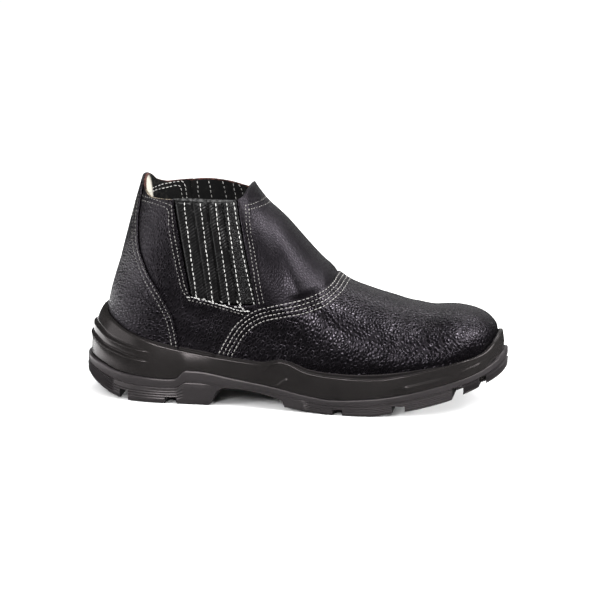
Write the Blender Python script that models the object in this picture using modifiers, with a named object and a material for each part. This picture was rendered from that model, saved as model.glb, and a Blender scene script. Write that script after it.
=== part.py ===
"""Elastic-sided steel toe ankle boot, right foot, standing on its sole.

The toe points along +X, the outer side faces -Y and the floor is z = 0.
All sizes below are in millimetres. The skin of the upper is one function, and
the sole, the overlays and the elastic panels are all laid out from it.
"""
import math

import bpy
import numpy as np

MM = 0.001

# Sizes of the pieces
RING_STEPS = 28
UPPER_LEVELS = 16
WALL = 2.0
OVERLAY = 1.3
FIT_GAP = 0.3
OVERLAY_GAP = 0.3
LIP_SPARE = 4.0
INSOLE_THICK = 4.0
INSOLE_GAP = 0.8
CUP_LEVELS = 8
VAMP_START = 9
VAMP_LEVELS = 12
COUNTER_END = 9
RIM_THICK = 2.0
LIP_OUT = 3.4
HEEL_STEP = 1.1
HEEL_STEPS = 3
PLEATS = 4
PLEAT_HIGH = 0.3
PLEAT_LOW = -0.9
GORE_INSIDE = -2.2

# Rounding of the toe seen from above, and of all corners
TOE_X = 145.2
TOE_ROUND = 42.0
TOE_SHARE = 0.30
CORNER_POWER = 3.2
NOSE_LENGTH = 37.0

# Heights between which the foot widths pass into the shaft widths
LOW_Z = 40.0
HIGH_Z = 150.0
COLLAR_FRONT_X = -32.5


def columns(names, rows):
    """Turn the rows of a table into one array for each named column."""
    return dict(zip(names.split(), np.array(rows, dtype=float).T))


# Top line of the foot and shaft front; it runs on above the collar unseen
RIDGE = columns("x z depth", (
    (-140, 398, 70),
    (-75, 220, 62),
    (-50, 180, 60),
    (-33, 156.5, 58),
    (-26, 147, 57),
    (-20, 140.3, 56),
    (5, 113.5, 54),
    (16, 102.8, 51),
    (23, 97.3, 49),
    (28, 91.4, 47),
    (38, 84.8, 44),
    (52, 79.7, 42),
    (67, 75, 40),
    (83, 70.8, 38),
    (107, 69, 37),
    (150, 68.5, 36.5),
))

# Line up the back of the heel
BACK = columns("z x depth", (
    (20, -137.5, 46),
    (45, -139, 46),
    (56, -137.6, 45),
    (65, -135.2, 44),
    (79, -131.9, 43),
    (107, -124.1, 40),
    (139, -115.8, 38),
    (160, -109.9, 36),
))

# Half widths low on the foot and high on the shaft about a bent centre line
FOOT = columns("x centre low_half high_half", (
    (-140, -3.8, 33.0, 37.0),
    (-100, -3.8, 34.0, 39.0),
    (-60, -3.8, 35.0, 39.5),
    (-20, -3.4, 38.5, 38.5),
    (20, -2.6, 44.0, 40.0),
    (50, -1.2, 47.3, 42.0),
    (80, 1.2, 47.3, 42.0),
    (110, 4.2, 45.0, 42.0),
    (150, 7.2, 43.5, 42.0),
))

# Feather line, where the upper stands on the floor of the cup
FEATHER = columns("x z", (
    (-140, 30),
    (-60, 29.5),
    (-20, 26),
    (30, 19.5),
    (70, 19),
    (100, 23),
    (120, 26.8),
    (134, 30),
    (146.5, 33),
))

# Edge of the lip round the upper, with the wave at the waist
LIP = columns("x z", (
    (-137, 64.5),
    (-134, 60.5),
    (-131, 57),
    (-124, 53),
    (-116, 49.3),
    (-93, 43.5),
    (-64, 38.9),
    (-35, 35.4),
    (-18.5, 34.4),
    (-5.3, 36.9),
    (2, 36),
    (17, 31.4),
    (31, 30),
    (46, 29.8),
    (67, 30.9),
    (95, 34.7),
    (122, 39),
    (134.5, 42.5),
    (140.5, 48.5),
    (144, 55.5),
))

# Line between the cup and the tread layer, and how far both stand out
SOLE = columns("x split_z deck_z wall_out flange_out", (
    (-140, 28, 16, 8.8, 10.9),
    (-130, 24.5, 16, 8.0, 9.5),
    (-120, 20.8, 15.5, 7.6, 9.0),
    (-105, 19, 15, 7.2, 8.2),
    (-88, 18.2, 14.5, 7.0, 7.6),
    (-80.5, 18.8, 15.5, 6.8, 7.2),
    (-73, 25.2, 19, 6.6, 7.0),
    (-64, 25, 20, 6.2, 6.4),
    (-40, 21.4, 18.3, 5.2, 5.2),
    (-11, 17.4, 13.8, 4.7, 4.7),
    (18, 12.6, 9.5, 5.2, 5.4),
    (33, 11.3, 8.5, 5.6, 6.0),
    (50, 12.3, 9, 5.6, 6.0),
    (67, 14, 9.8, 5.5, 6.0),
    (94, 19.5, 14, 5.0, 5.6),
    (120, 26.7, 20.5, 4.4, 5.0),
    (134, 31.5, 23.5, 4.0, 4.6),
    (140.5, 36.5, 25.5, 4.2, 5.1),
    (146.5, 43.5, 28.5, 4.2, 5.15),
))

# Underside of the tread layer from heel strike to toe spring
BOTTOM = columns("x z", (
    (-150, 15.5),
    (-146.5, 7),
    (-141, 2.6),
    (-130, 1.4),
    (-118, 0.4),
    (-112, 0),
    (-50, 0),
    (-1, 2.4),
    (10, 1.2),
    (28, 0),
    (60, 0),
    (72, 2.1),
    (86, 4.5),
    (101, 7.8),
    (115, 12),
    (124, 15.8),
    (134, 19.5),
    (143, 24),
    (150, 28.5),
))

# Arch between the heel breast and the rear of the forefoot
ARCH = columns("x z", (
    (-57, 0),
    (-55, 1.5),
    (-50.6, 11.5),
    (-46, 13.7),
    (-34, 13.6),
    (-20, 11.9),
    (-11.6, 10),
    (-3, 7.5),
    (-1, 2.4),
))

# Channels across the tread edge, and short ones across its middle
SIDE_CHANNELS = columns("x width depth", (
    (-119, 6.5, 7),
    (-84, 8.5, 5),
    (37.5, 7, 4.6),
    (80.5, 9, 5),
    (119, 6, 6),
))
MIDDLE_CHANNELS = columns("x width depth", (
    (-101, 6, 5),
    (-68, 6, 5),
    (18, 7, 4),
    (58, 7, 4.5),
    (100, 7, 4.5),
))
MIDDLE_HALF = 13.0
GROOVE_WIDTH = 4.0
GROOVES = columns("start_x end_x depth", (
    (-111, -58, 5),
    (11, 60, 4),
))

# Height of the collar against the angle round it, from the back to the front
COLLAR = columns("angle z", (
    (0, 158.5),
    (10, 157.5),
    (24, 151.5),
    (45, 148),
    (90, 148.8),
    (120, 148.8),
    (140, 147.8),
    (155, 149.5),
    (168, 154),
    (180, 156),
))

# Seams in side view: the edge of the vamp and the edge of the counter
VAMP_SEAM = columns("x z", (
    (-56, 27),
    (-49.3, 41),
    (-40, 57.5),
    (-34, 64.3),
    (-27.5, 69.4),
    (-18.8, 73.6),
    (-5.8, 77.2),
    (8.3, 80.1),
    (18.3, 83.3),
    (25, 87),
    (29, 93),
    (33, 118),
))
COUNTER_SEAM = columns("z x", (
    (38, -78.5),
    (51.5, -81.3),
    (61, -83.5),
    (69, -87.1),
    (84, -95.7),
    (100, -104.5),
    (119, -109.9),
    (141, -109.9),
    (160, -107),
))

# Corners of the elastic panel in side view
GORE_REAR_TOP = (-82.9, 147.8)
GORE_REAR_LOW = (-68.1, 78.1)
GORE_FRONT_TOP = (-38.7, 147.4)
GORE_FRONT_LOW = (-22.8, 75.0)
GORE_SAG = 2.6


def curve(table, key, value):
    """Return a smooth curve through a table that never overshoots its rows."""
    knots = table[key]
    heights = table[value]
    spans = np.diff(knots)
    slopes = np.diff(heights) / spans
    tangents = np.zeros_like(heights)
    tangents[0] = slopes[0]
    tangents[-1] = slopes[-1]
    same_way = slopes[:-1] * slopes[1:] > 0
    before = np.where(same_way, slopes[:-1], 1.0)
    after = np.where(same_way, slopes[1:], 1.0)
    tangents[1:-1] = np.where(same_way, 2 * before * after / (before + after), 0.0)

    def value_at(position):
        position = np.clip(np.asarray(position, dtype=float), knots[0], knots[-1])
        row = np.clip(np.searchsorted(knots, position, side="right") - 1, 0, len(spans) - 1)
        share = (position - knots[row]) / spans[row]
        start = (1 + 2 * share) * (1 - share) ** 2 * heights[row]
        leave = share * (1 - share) ** 2 * spans[row] * tangents[row]
        end = share ** 2 * (3 - 2 * share) * heights[row + 1]
        arrive = share ** 2 * (share - 1) * spans[row] * tangents[row + 1]
        return start + leave + end + arrive

    return value_at


ridge_z = curve(RIDGE, "x", "z")
ridge_depth = curve(RIDGE, "x", "depth")
back_x = curve(BACK, "z", "x")
back_depth = curve(BACK, "z", "depth")
centre_y = curve(FOOT, "x", "centre")
low_half = curve(FOOT, "x", "low_half")
high_half = curve(FOOT, "x", "high_half")
feather_z = curve(FEATHER, "x", "z")
lip_z = curve(LIP, "x", "z")
split_z = curve(SOLE, "x", "split_z")
deck_z = curve(SOLE, "x", "deck_z")
wall_out = curve(SOLE, "x", "wall_out")
flange_out = curve(SOLE, "x", "flange_out")
bottom_z = curve(BOTTOM, "x", "z")
collar_z = curve(COLLAR, "angle", "z")
vamp_seam_z = curve(VAMP_SEAM, "x", "z")
counter_seam_x = curve(COUNTER_SEAM, "z", "x")


def blend(start, end, share):
    """Value part of the way from start to end."""
    return start + (end - start) * share


def soft_step(share):
    """Pass smoothly from 0 to 1."""
    share = np.clip(share, 0.0, 1.0)
    return share * share * (3 - 2 * share)


def half_squared(x, z):
    """Square of the half width of the skin at a place in side view, below 0 outside it."""
    top = np.clip(1 - (ridge_z(x) - z) / ridge_depth(x), 0, None)
    toe = np.clip(1 - (TOE_X - x) / TOE_ROUND, 0, None)
    back = np.clip(1 - (x - back_x(z)) / back_depth(z), 0, None)
    corner = (top ** CORNER_POWER + toe ** CORNER_POWER + back ** CORNER_POWER) ** (2 / CORNER_POWER)
    side = blend(low_half(x), high_half(x), soft_step((z - LOW_Z) / (HIGH_Z - LOW_Z)))
    return side ** 2 * (1 - corner)


def half_width(x, z):
    """Half width of the skin at a place in side view."""
    return np.sqrt(np.clip(half_squared(x, z), 0, None))


def skin(x, z, side, offset):
    """Points standing a given distance off the skin, outer side -1 and inner side +1."""
    x, z, side, offset = np.broadcast_arrays(x, z, side, offset)
    reach = half_width(x, z) * side
    step = 0.02
    slope_x = (half_squared(x + step, z) - half_squared(x - step, z)) / (2 * step)
    slope_z = (half_squared(x, z + step) - half_squared(x, z - step)) / (2 * step)
    bend = (centre_y(x + step) - centre_y(x - step)) / (2 * step)
    normal = np.stack((-slope_x - 2 * reach * bend, 2 * reach, -slope_z), axis=-1)
    normal /= np.linalg.norm(normal, axis=-1, keepdims=True)
    return np.stack((x, centre_y(x) + reach, z), axis=-1) + normal * offset[..., None]


def outline_z(x):
    """Height of the top outline in side view, with the toe rounded off."""
    toe = np.clip(1 - (TOE_X - x) / TOE_ROUND, 0, 1)
    return ridge_z(x) - ridge_depth(x) * (1 - (1 - toe ** CORNER_POWER) ** (1 / CORNER_POWER))


def toe_front_x(z):
    """Foremost place of the skin at a height on the toe."""
    top = np.clip(1 - (ridge_z(TOE_X) - z) / ridge_depth(TOE_X), 0, 1)
    return TOE_X - TOE_ROUND * (1 - (1 - top ** CORNER_POWER) ** (1 / CORNER_POWER))


def nose(level):
    """Where the ring of a level meets the top line: up the toe, then back along the ridge."""
    turn = np.clip(level / TOE_SHARE, 0, 1) * math.pi / 2
    size = (np.cos(turn) ** CORNER_POWER + np.sin(turn) ** CORNER_POWER) ** (1 / CORNER_POWER)
    toe_x = TOE_X - TOE_ROUND * (1 - np.cos(turn) / size)
    toe_z = ridge_z(toe_x) - ridge_depth(toe_x) * (1 - np.sin(turn) / size)
    along = np.clip((level - TOE_SHARE) / (1 - TOE_SHARE), 0, 1)
    ridge_x = blend(TOE_X - TOE_ROUND, COLLAR_FRONT_X, along)
    on_toe = level < TOE_SHARE
    return np.where(on_toe, toe_x, ridge_x), np.where(on_toe, toe_z, ridge_z(ridge_x))


def ring_place(level, angle):
    """Side view place on the ring of a level, angle 0 at the back and pi at the front."""
    nose_x, nose_z = nose(level)
    heel_z = feather_z(-140)
    heel_x = back_x(blend(heel_z, collar_z(0), level))
    x = blend(heel_x, nose_x, (1 - np.cos(angle)) / 2)
    top = np.minimum(outline_z(x), collar_z(np.degrees(angle)))
    side_z = blend(feather_z(x), top, level)
    nose_side_z = blend(feather_z(nose_x), nose_z, level)
    return x, side_z + (nose_z - nose_side_z) * np.exp(-(nose_x - x) / NOSE_LENGTH)


def round_trip(angles):
    """Angles and sides of one whole ring: outer side to the front, inner side back, 0 on the middle."""
    angle = np.concatenate((angles, angles[-2:0:-1]))
    side = np.concatenate((-np.ones(len(angles)), np.ones(len(angles) - 2)))
    side[0] = 0
    side[len(angles) - 1] = 0
    return angle, side


RING_ANGLES = np.linspace(0, math.pi, RING_STEPS + 1)
LEVELS = np.linspace(0, 1, UPPER_LEVELS)


def skin_rows(levels, angle, side, offset):
    """Rows of points on the rings of some levels, all the same distance off the skin."""
    return [skin(*ring_place(np.full_like(angle, level), angle), side, offset) for level in levels]


def sole_ring(plan_z, height, outward):
    """Ring round the skin at the heights of plan_z, moved outward and set at a height."""
    back_end = back_x(plan_z(-138.0))
    front_end = toe_front_x(plan_z(142.0))
    angle, side = round_trip(RING_ANGLES)
    x = blend(back_end, front_end, (1 - np.cos(angle)) / 2)
    place = np.stack((x, centre_y(x) + side * half_width(x, plan_z(x))), axis=-1)
    along = np.roll(place, -1, axis=0) - np.roll(place, 1, axis=0)
    along /= np.linalg.norm(along, axis=1, keepdims=True)
    out = np.stack((along[:, 1], -along[:, 0]), axis=-1)
    place = place + out * np.broadcast_to(outward(x), x.shape)[:, None]
    return np.column_stack((place, height(x)))


def grid_faces(rows, row_length, closed):
    """Faces between rows of points; a closed row joins its end to its start."""
    faces = []
    for row in range(rows - 1):
        for place in range(row_length if closed else row_length - 1):
            after = (place + 1) % row_length
            start = row * row_length
            above = start + row_length
            faces.append((start + place, start + after, above + after))
            faces.append((start + place, above + after, above + place))
    return faces


def cap_faces(first, facing_up):
    """Strips across a ring from the outer side to the inner side."""
    count = 2 * RING_STEPS
    faces = []
    for place in range(RING_STEPS):
        face = [place, place + 1, (count - place - 1) % count, (count - place) % count]
        face = [first + corner for corner in dict.fromkeys(face)]
        faces.append(face if facing_up else face[::-1])
    return faces


def loft_faces(rings):
    """Faces of a closed loft through whole rings, from the lowest cap to the last."""
    count = 2 * RING_STEPS
    return cap_faces(0, False) + grid_faces(rings, count, True) + cap_faces((rings - 1) * count, True)


def material(name, colour, roughness):
    """Plain shader for one piece."""
    made = bpy.data.materials.new(name)
    made.use_nodes = True
    shader = made.node_tree.nodes["Principled BSDF"]
    shader.inputs["Base Color"].default_value = (*colour, 1.0)
    shader.inputs["Roughness"].default_value = roughness
    shader.inputs["Metallic"].default_value = 0.0
    return made


def add_object(name, points, faces, collection):
    """Make a mesh object from points in millimetres."""
    mesh = bpy.data.meshes.new(name)
    mesh.from_pydata((np.asarray(points).reshape(-1, 3) * MM).tolist(), [], faces)
    mesh.shade_smooth()
    mesh.set_sharp_from_angle(angle=math.radians(35))
    made = bpy.data.objects.new(name, mesh)
    collection.objects.link(made)
    return made


def thicken(piece, thickness, offset):
    """Give an open surface its thickness, inward at offset -1 and outward at 1."""
    solidify = piece.modifiers.new("thickness", "SOLIDIFY")
    solidify.thickness = thickness * MM
    solidify.offset = offset
    solidify.use_rim = True


def cut(piece, cutter):
    """Take a cutter away from a piece."""
    boolean = piece.modifiers.new("cut " + cutter.name, "BOOLEAN")
    boolean.operation = "DIFFERENCE"
    boolean.solver = "EXACT"
    boolean.object = cutter


def box_points(low, high):
    """Corners of an upright box."""
    plan = [(low[0], low[1]), (high[0], low[1]), (high[0], high[1]), (low[0], high[1])]
    return [(x, y, z) for z in (low[2], high[2]) for x, y in plan]


BOX_FACES = [(3, 2, 1, 0), (4, 5, 6, 7), (0, 1, 5, 4), (1, 2, 6, 5), (2, 3, 7, 6), (3, 0, 4, 7)]


def add_boxes(name, boxes, collection):
    """One cutter made of boxes that stand clear of each other."""
    points = []
    faces = []
    for low, high in boxes:
        first = len(points)
        points += box_points(low, high)
        faces += [tuple(first + corner for corner in face) for face in BOX_FACES]
    cutter = add_object(name, points, faces, collection)
    cutter.hide_render = True
    cutter.display_type = "WIRE"
    return cutter


def add_prism(name, outline, collection):
    """Cutter with a given outline in side view, right across the boot, drawn against the clock."""
    count = len(outline)
    points = [(x, -90, z) for x, z in outline] + [(x, 90, z) for x, z in outline]
    faces = [tuple(range(count)), tuple(range(2 * count - 1, count - 1, -1))]
    for start in range(count):
        end = (start + 1) % count
        faces.append((end, start, count + start, count + end))
    cutter = add_object(name, points, faces, collection)
    cutter.hide_render = True
    cutter.display_type = "WIRE"
    return cutter


def build_upper(collection):
    """Hollow leather wall from the feather line to the collar."""
    angle, side = round_trip(RING_ANGLES)
    rows = skin_rows(LEVELS, angle, side, 0.0)
    upper = add_object("upper", rows, grid_faces(len(rows), len(angle), True), collection)
    thicken(upper, WALL, -1)
    return upper


def add_lip_cutters(cutters):
    """Cutters for all that lies above the edge of the lip, and for all that lies below it."""
    along = np.linspace(-160, 160, 81)
    above = [(x, lip_z(x)) for x in along] + [(160, 120), (-160, 120)]
    below = [(-160, -10), (160, -10)] + [(x, lip_z(x) + FIT_GAP) for x in along[::-1]]
    return add_prism("above the lip", above, cutters), add_prism("below the lip", below, cutters)


def build_vamp(below_lip, parts, cutters):
    """Overlay from the lip of the cup up to the curved seam at the instep."""
    angle, side = round_trip(RING_ANGLES)
    first = VAMP_START
    last = 2 * RING_STEPS - VAMP_START + 1
    rows = skin_rows(LEVELS[:VAMP_LEVELS], angle[first:last], side[first:last], OVERLAY_GAP)
    vamp = add_object("vamp", rows, grid_faces(len(rows), last - first, False), parts)
    thicken(vamp, OVERLAY, 1)
    along = np.linspace(VAMP_SEAM["x"][0], VAMP_SEAM["x"][-1], 40)
    seam = [(x, vamp_seam_z(x)) for x in along]
    outline = [(-160, -10), (-70, -10)] + seam + [(33, 170), (-160, 170)]
    cut(vamp, add_prism("behind the vamp", outline, cutters))
    cut(vamp, below_lip)
    return vamp


def build_counter(below_lip, parts, cutters):
    """Overlay round the heel from the lip of the cup up to the rear tab."""
    angle, side = round_trip(RING_ANGLES)
    angle = np.concatenate((angle[-COUNTER_END:], angle[:COUNTER_END + 1]))
    side = np.concatenate((side[-COUNTER_END:], side[:COUNTER_END + 1]))
    rows = skin_rows(LEVELS, angle, side, OVERLAY_GAP)
    counter = add_object("counter", rows, grid_faces(len(rows), len(angle), False), parts)
    thicken(counter, OVERLAY, 1)
    up = np.linspace(COUNTER_SEAM["z"][0], COUNTER_SEAM["z"][-1], 30)
    seam = [(counter_seam_x(z), z) for z in up[::-1]]
    outline = [(60, -10), (60, 170), (-105, 170)] + seam + [(-82, -10)]
    cut(counter, add_prism("ahead of the counter", outline, cutters))
    cut(counter, below_lip)
    return counter


def gore_place(across, up):
    """Side view place on the elastic panel, across from the rear and up from its foot."""
    x_low = blend(GORE_REAR_LOW[0], GORE_FRONT_LOW[0], across)
    z_low = blend(GORE_REAR_LOW[1], GORE_FRONT_LOW[1], across) - GORE_SAG * np.sin(across * math.pi)
    x_top = blend(GORE_REAR_TOP[0], GORE_FRONT_TOP[0], across)
    z_top = blend(GORE_REAR_TOP[1], GORE_FRONT_TOP[1], across)
    return blend(x_low, x_top, up), blend(z_low, z_top, up)


def build_panel(name, side, across, up, outside, inside, collection):
    """Closed panel that follows the skin, between an outside and an inside offset."""
    if side > 0:
        across = across[::-1]
        outside = outside[::-1]
    width = len(across)
    height = len(up)
    outer = [skin(*gore_place(across, share), side, outside) for share in up]
    inner = [skin(*gore_place(across, share), side, inside) for share in up]
    count = width * height
    faces = grid_faces(height, width, False)
    faces += [tuple(count + corner for corner in face[::-1]) for face in grid_faces(height, width, False)]
    edge = list(range(width))
    edge += [row * width + width - 1 for row in range(1, height)]
    edge += [count - 1 - step for step in range(1, width)]
    edge += [row * width for row in range(height - 2, 0, -1)]
    for start, end in zip(edge, edge[1:] + edge[:1]):
        faces.append((start, count + start, count + end, end))
    return add_object(name, outer + inner, faces, collection)


def build_gore(name, side, upper, parts, cutters):
    """Window in the upper and the pleated elastic panel that fills it."""
    pleat = np.concatenate([(fold + np.array((0.0, 0.08, 0.35, 0.85))) / PLEATS for fold in range(PLEATS)])
    across = np.append(pleat, 1.0)
    outside = np.append(np.tile((PLEAT_LOW, PLEAT_LOW, PLEAT_HIGH * 0.6, PLEAT_HIGH), PLEATS), PLEAT_LOW)
    up = np.linspace(0, 1, 8)
    through = np.full_like(across, 8.0)
    window = build_panel(name + " window", side, across, np.append(up, 1.2), through, -8.0, cutters)
    window.hide_render = True
    window.display_type = "WIRE"
    cut(upper, window)
    across = blend(0.013, 0.987, across)
    up = blend(0.008, 0.995, up)
    return build_panel(name, side, across, up, outside, GORE_INSIDE, parts)


def build_midsole(above_lip, parts, cutters):
    """Moulded cup: a block with heel steps and a lip, less the form of the foot."""
    def plan_z(x):
        return np.maximum(split_z(x), feather_z(x) + 14)

    def under_z(x):
        return deck_z(x) + FIT_GAP

    def seat_z(x):
        return split_z(x) + FIT_GAP

    def rim_out(x):
        return flange_out(x) - RIM_THICK - FIT_GAP

    rings = [sole_ring(plan_z, under_z, rim_out), sole_ring(plan_z, seat_z, rim_out)]
    for share in np.linspace(0, 1, 3 * HEEL_STEPS + 2):
        def height(x, share=share):
            return blend(seat_z(x), lip_z(x) + LIP_SPARE, share)

        def side_plan(x, share=share):
            return np.maximum(height(x), feather_z(x) + 14 * (1 - share))

        def outward(x, share=share):
            fade = 1 - soft_step((x + 112) / 30)
            step = math.sin(share * HEEL_STEPS * 2 * math.pi) * HEEL_STEP / 2
            return blend(wall_out(x), LIP_OUT, share ** 1.6) + step * fade

        rings.append(sole_ring(side_plan, height, outward))
    midsole = add_object("midsole", rings, loft_faces(len(rings)), parts)
    angle, side = round_trip(RING_ANGLES)
    rows = skin_rows(LEVELS[:CUP_LEVELS], angle, side, FIT_GAP)
    rows[0][:, 2] -= FIT_GAP
    form = add_object("form of the foot", rows, loft_faces(len(rows)), cutters)
    form.hide_render = True
    form.display_type = "WIRE"
    cut(midsole, form)
    cut(midsole, above_lip)
    return midsole


def build_outsole(collection, cutters):
    """Tread layer: underside, flange, rim round the cup, deck, and channels between the lugs."""
    def plan_z(x):
        return np.maximum(split_z(x), feather_z(x) + 14)

    def flange_z(x):
        return blend(bottom_z(x), split_z(x), 0.62)

    rings = [
        sole_ring(plan_z, bottom_z, lambda x: flange_out(x) - 2.2),
        sole_ring(plan_z, lambda x: blend(bottom_z(x), split_z(x), 0.2), lambda x: flange_out(x) - 0.6),
        sole_ring(plan_z, flange_z, flange_out),
        sole_ring(plan_z, split_z, lambda x: flange_out(x) - 0.5),
        sole_ring(plan_z, split_z, lambda x: flange_out(x) - RIM_THICK),
        sole_ring(plan_z, deck_z, lambda x: flange_out(x) - RIM_THICK),
    ]
    outsole = add_object("outsole", rings, loft_faces(len(rings)), collection)
    outer = []
    for x, width, depth in zip(*SIDE_CHANNELS.values()):
        top = float(bottom_z(x)) + depth
        outer.append(((x - width / 2, -80, -5), (x + width / 2, -MIDDLE_HALF, top)))
        outer.append(((x - width / 2, MIDDLE_HALF, -5), (x + width / 2, 80, top)))
    middle = []
    for x, width, depth in zip(*MIDDLE_CHANNELS.values()):
        top = float(bottom_z(x)) + depth
        middle.append(((x - width / 2, -MIDDLE_HALF + 2, -5), (x + width / 2, MIDDLE_HALF - 2, top)))
    grooves = []
    for start, end, depth in zip(*GROOVES.values()):
        for side in (-1, 1):
            near = side * MIDDLE_HALF - GROOVE_WIDTH / 2
            grooves.append(((start, near, -5), (end, near + GROOVE_WIDTH, depth - 0.3)))
    arch = list(zip(ARCH["x"], ARCH["z"]))
    arch_foot = [(arch[0][0], -10), (arch[-1][0], -10)]
    cut(outsole, add_prism("arch", arch_foot + arch[::-1], cutters))
    cut(outsole, add_boxes("side channels", outer, cutters))
    cut(outsole, add_boxes("middle channels", middle, cutters))
    cut(outsole, add_boxes("grooves", grooves, cutters))
    return outsole


def build_insole(collection):
    """Sock on the floor of the cup, inside the wall of the upper."""
    def inward(x):
        return np.full_like(x, -WALL - INSOLE_GAP)

    def high_z(x):
        return feather_z(x) + INSOLE_THICK

    rings = [sole_ring(feather_z, feather_z, inward), sole_ring(high_z, high_z, inward)]
    return add_object("insole", rings, loft_faces(len(rings)), collection)


def main():
    """Build every piece of the boot."""
    for old in list(bpy.data.objects):
        bpy.data.objects.remove(old, do_unlink=True)
    parts = bpy.data.collections.new("steel toe ankle boot")
    cutters = bpy.data.collections.new("cutters")
    bpy.context.scene.collection.children.link(parts)
    bpy.context.scene.collection.children.link(cutters)
    upper = build_upper(parts)
    above_lip, below_lip = add_lip_cutters(cutters)
    vamp = build_vamp(below_lip, parts, cutters)
    counter = build_counter(below_lip, parts, cutters)
    gore_outer = build_gore("gore_outer", -1, upper, parts, cutters)
    gore_inner = build_gore("gore_inner", 1, upper, parts, cutters)
    midsole = build_midsole(above_lip, parts, cutters)
    outsole = build_outsole(parts, cutters)
    insole = build_insole(parts)
    black = (0.012, 0.012, 0.013)
    upper.data.materials.append(material("leather_upper", black, 0.45))
    vamp.data.materials.append(material("leather_vamp", black, 0.4))
    counter.data.materials.append(material("leather_counter", black, 0.42))
    gore_outer.data.materials.append(material("pleat_outer", black, 0.55))
    gore_inner.data.materials.append(material("pleat_inner", black, 0.55))
    midsole.data.materials.append(material("sole_cup", (0.022, 0.021, 0.022), 0.5))
    outsole.data.materials.append(material("sole_tread", (0.03, 0.029, 0.03), 0.6))
    insole.data.materials.append(material("insole_sock", (0.05, 0.05, 0.052), 0.9))


main()
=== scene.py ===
"""Looks of a black elastic-sided steel toe ankle boot, right foot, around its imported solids.

The file is laid out as an add-on and is run as a script. Sizes in the tables are in
millimetres, with the toe along +X, the outer side along -Y and the floor at z = 0.
"""
import math

import bmesh
import bpy
import numpy as np
from mathutils import Matrix, Vector


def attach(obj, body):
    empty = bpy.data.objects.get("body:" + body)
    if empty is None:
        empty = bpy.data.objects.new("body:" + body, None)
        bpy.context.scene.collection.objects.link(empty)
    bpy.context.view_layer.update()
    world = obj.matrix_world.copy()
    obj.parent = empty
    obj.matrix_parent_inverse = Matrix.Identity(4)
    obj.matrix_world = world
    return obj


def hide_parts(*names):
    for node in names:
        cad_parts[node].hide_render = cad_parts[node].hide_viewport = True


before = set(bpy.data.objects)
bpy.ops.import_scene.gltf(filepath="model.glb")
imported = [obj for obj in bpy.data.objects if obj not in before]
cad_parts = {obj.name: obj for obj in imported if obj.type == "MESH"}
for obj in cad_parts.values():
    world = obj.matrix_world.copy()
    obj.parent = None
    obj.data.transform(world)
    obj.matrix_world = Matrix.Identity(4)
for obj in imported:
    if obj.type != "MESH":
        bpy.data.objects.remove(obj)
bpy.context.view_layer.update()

bl_info = {
    "name": "Steel toe ankle boot",
    "version": (1, 0, 0),
    "blender": (4, 5, 0),
    "location": "3D View > Sidebar > Boot",
    "description": "Leather, stitching, pleated elastic and moulded sole of an ankle boot",
    "category": "Add Mesh",
}

MM = 0.001
OUTER = -1
INNER = 1


def columns(names, rows):
    """Turn the rows of a table into one array for each named column."""
    return dict(zip(names.split(), np.array(rows, dtype=float).T))


# Shape of the last, as in the solids

TOE_X = 145.2
TOE_ROUND = 42.0
TOE_SHARE = 0.30
CORNER_POWER = 3.2
NOSE_LENGTH = 37.0
LOW_Z = 40.0
HIGH_Z = 150.0
COLLAR_FRONT_X = -32.5

RIDGE = columns("x z depth", (
    (-140, 398, 70),
    (-75, 220, 62),
    (-50, 180, 60),
    (-33, 156.5, 58),
    (-26, 147, 57),
    (-20, 140.3, 56),
    (5, 113.5, 54),
    (16, 102.8, 51),
    (23, 97.3, 49),
    (28, 91.4, 47),
    (38, 84.8, 44),
    (52, 79.7, 42),
    (67, 75, 40),
    (83, 70.8, 38),
    (107, 69, 37),
    (150, 68.5, 36.5),
))
BACK = columns("z x depth", (
    (20, -137.5, 46),
    (45, -139, 46),
    (56, -137.6, 45),
    (65, -135.2, 44),
    (79, -131.9, 43),
    (107, -124.1, 40),
    (139, -115.8, 38),
    (160, -109.9, 36),
))
FOOT = columns("x centre low_half high_half", (
    (-140, -3.8, 33.0, 37.0),
    (-100, -3.8, 34.0, 39.0),
    (-60, -3.8, 35.0, 39.5),
    (-20, -3.4, 38.5, 38.5),
    (20, -2.6, 44.0, 40.0),
    (50, -1.2, 47.3, 42.0),
    (80, 1.2, 47.3, 42.0),
    (110, 4.2, 45.0, 42.0),
    (150, 7.2, 43.5, 42.0),
))
FEATHER = columns("x z", (
    (-140, 30),
    (-60, 29.5),
    (-20, 26),
    (30, 19.5),
    (70, 19),
    (100, 23),
    (120, 26.8),
    (134, 30),
    (146.5, 33),
))
LIP = columns("x z", (
    (-137, 64.5),
    (-134, 60.5),
    (-131, 57),
    (-124, 53),
    (-116, 49.3),
    (-93, 43.5),
    (-64, 38.9),
    (-35, 35.4),
    (-18.5, 34.4),
    (-5.3, 36.9),
    (2, 36),
    (17, 31.4),
    (31, 30),
    (46, 29.8),
    (67, 30.9),
    (95, 34.7),
    (122, 39),
    (134.5, 42.5),
    (140.5, 48.5),
    (144, 55.5),
))
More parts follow.
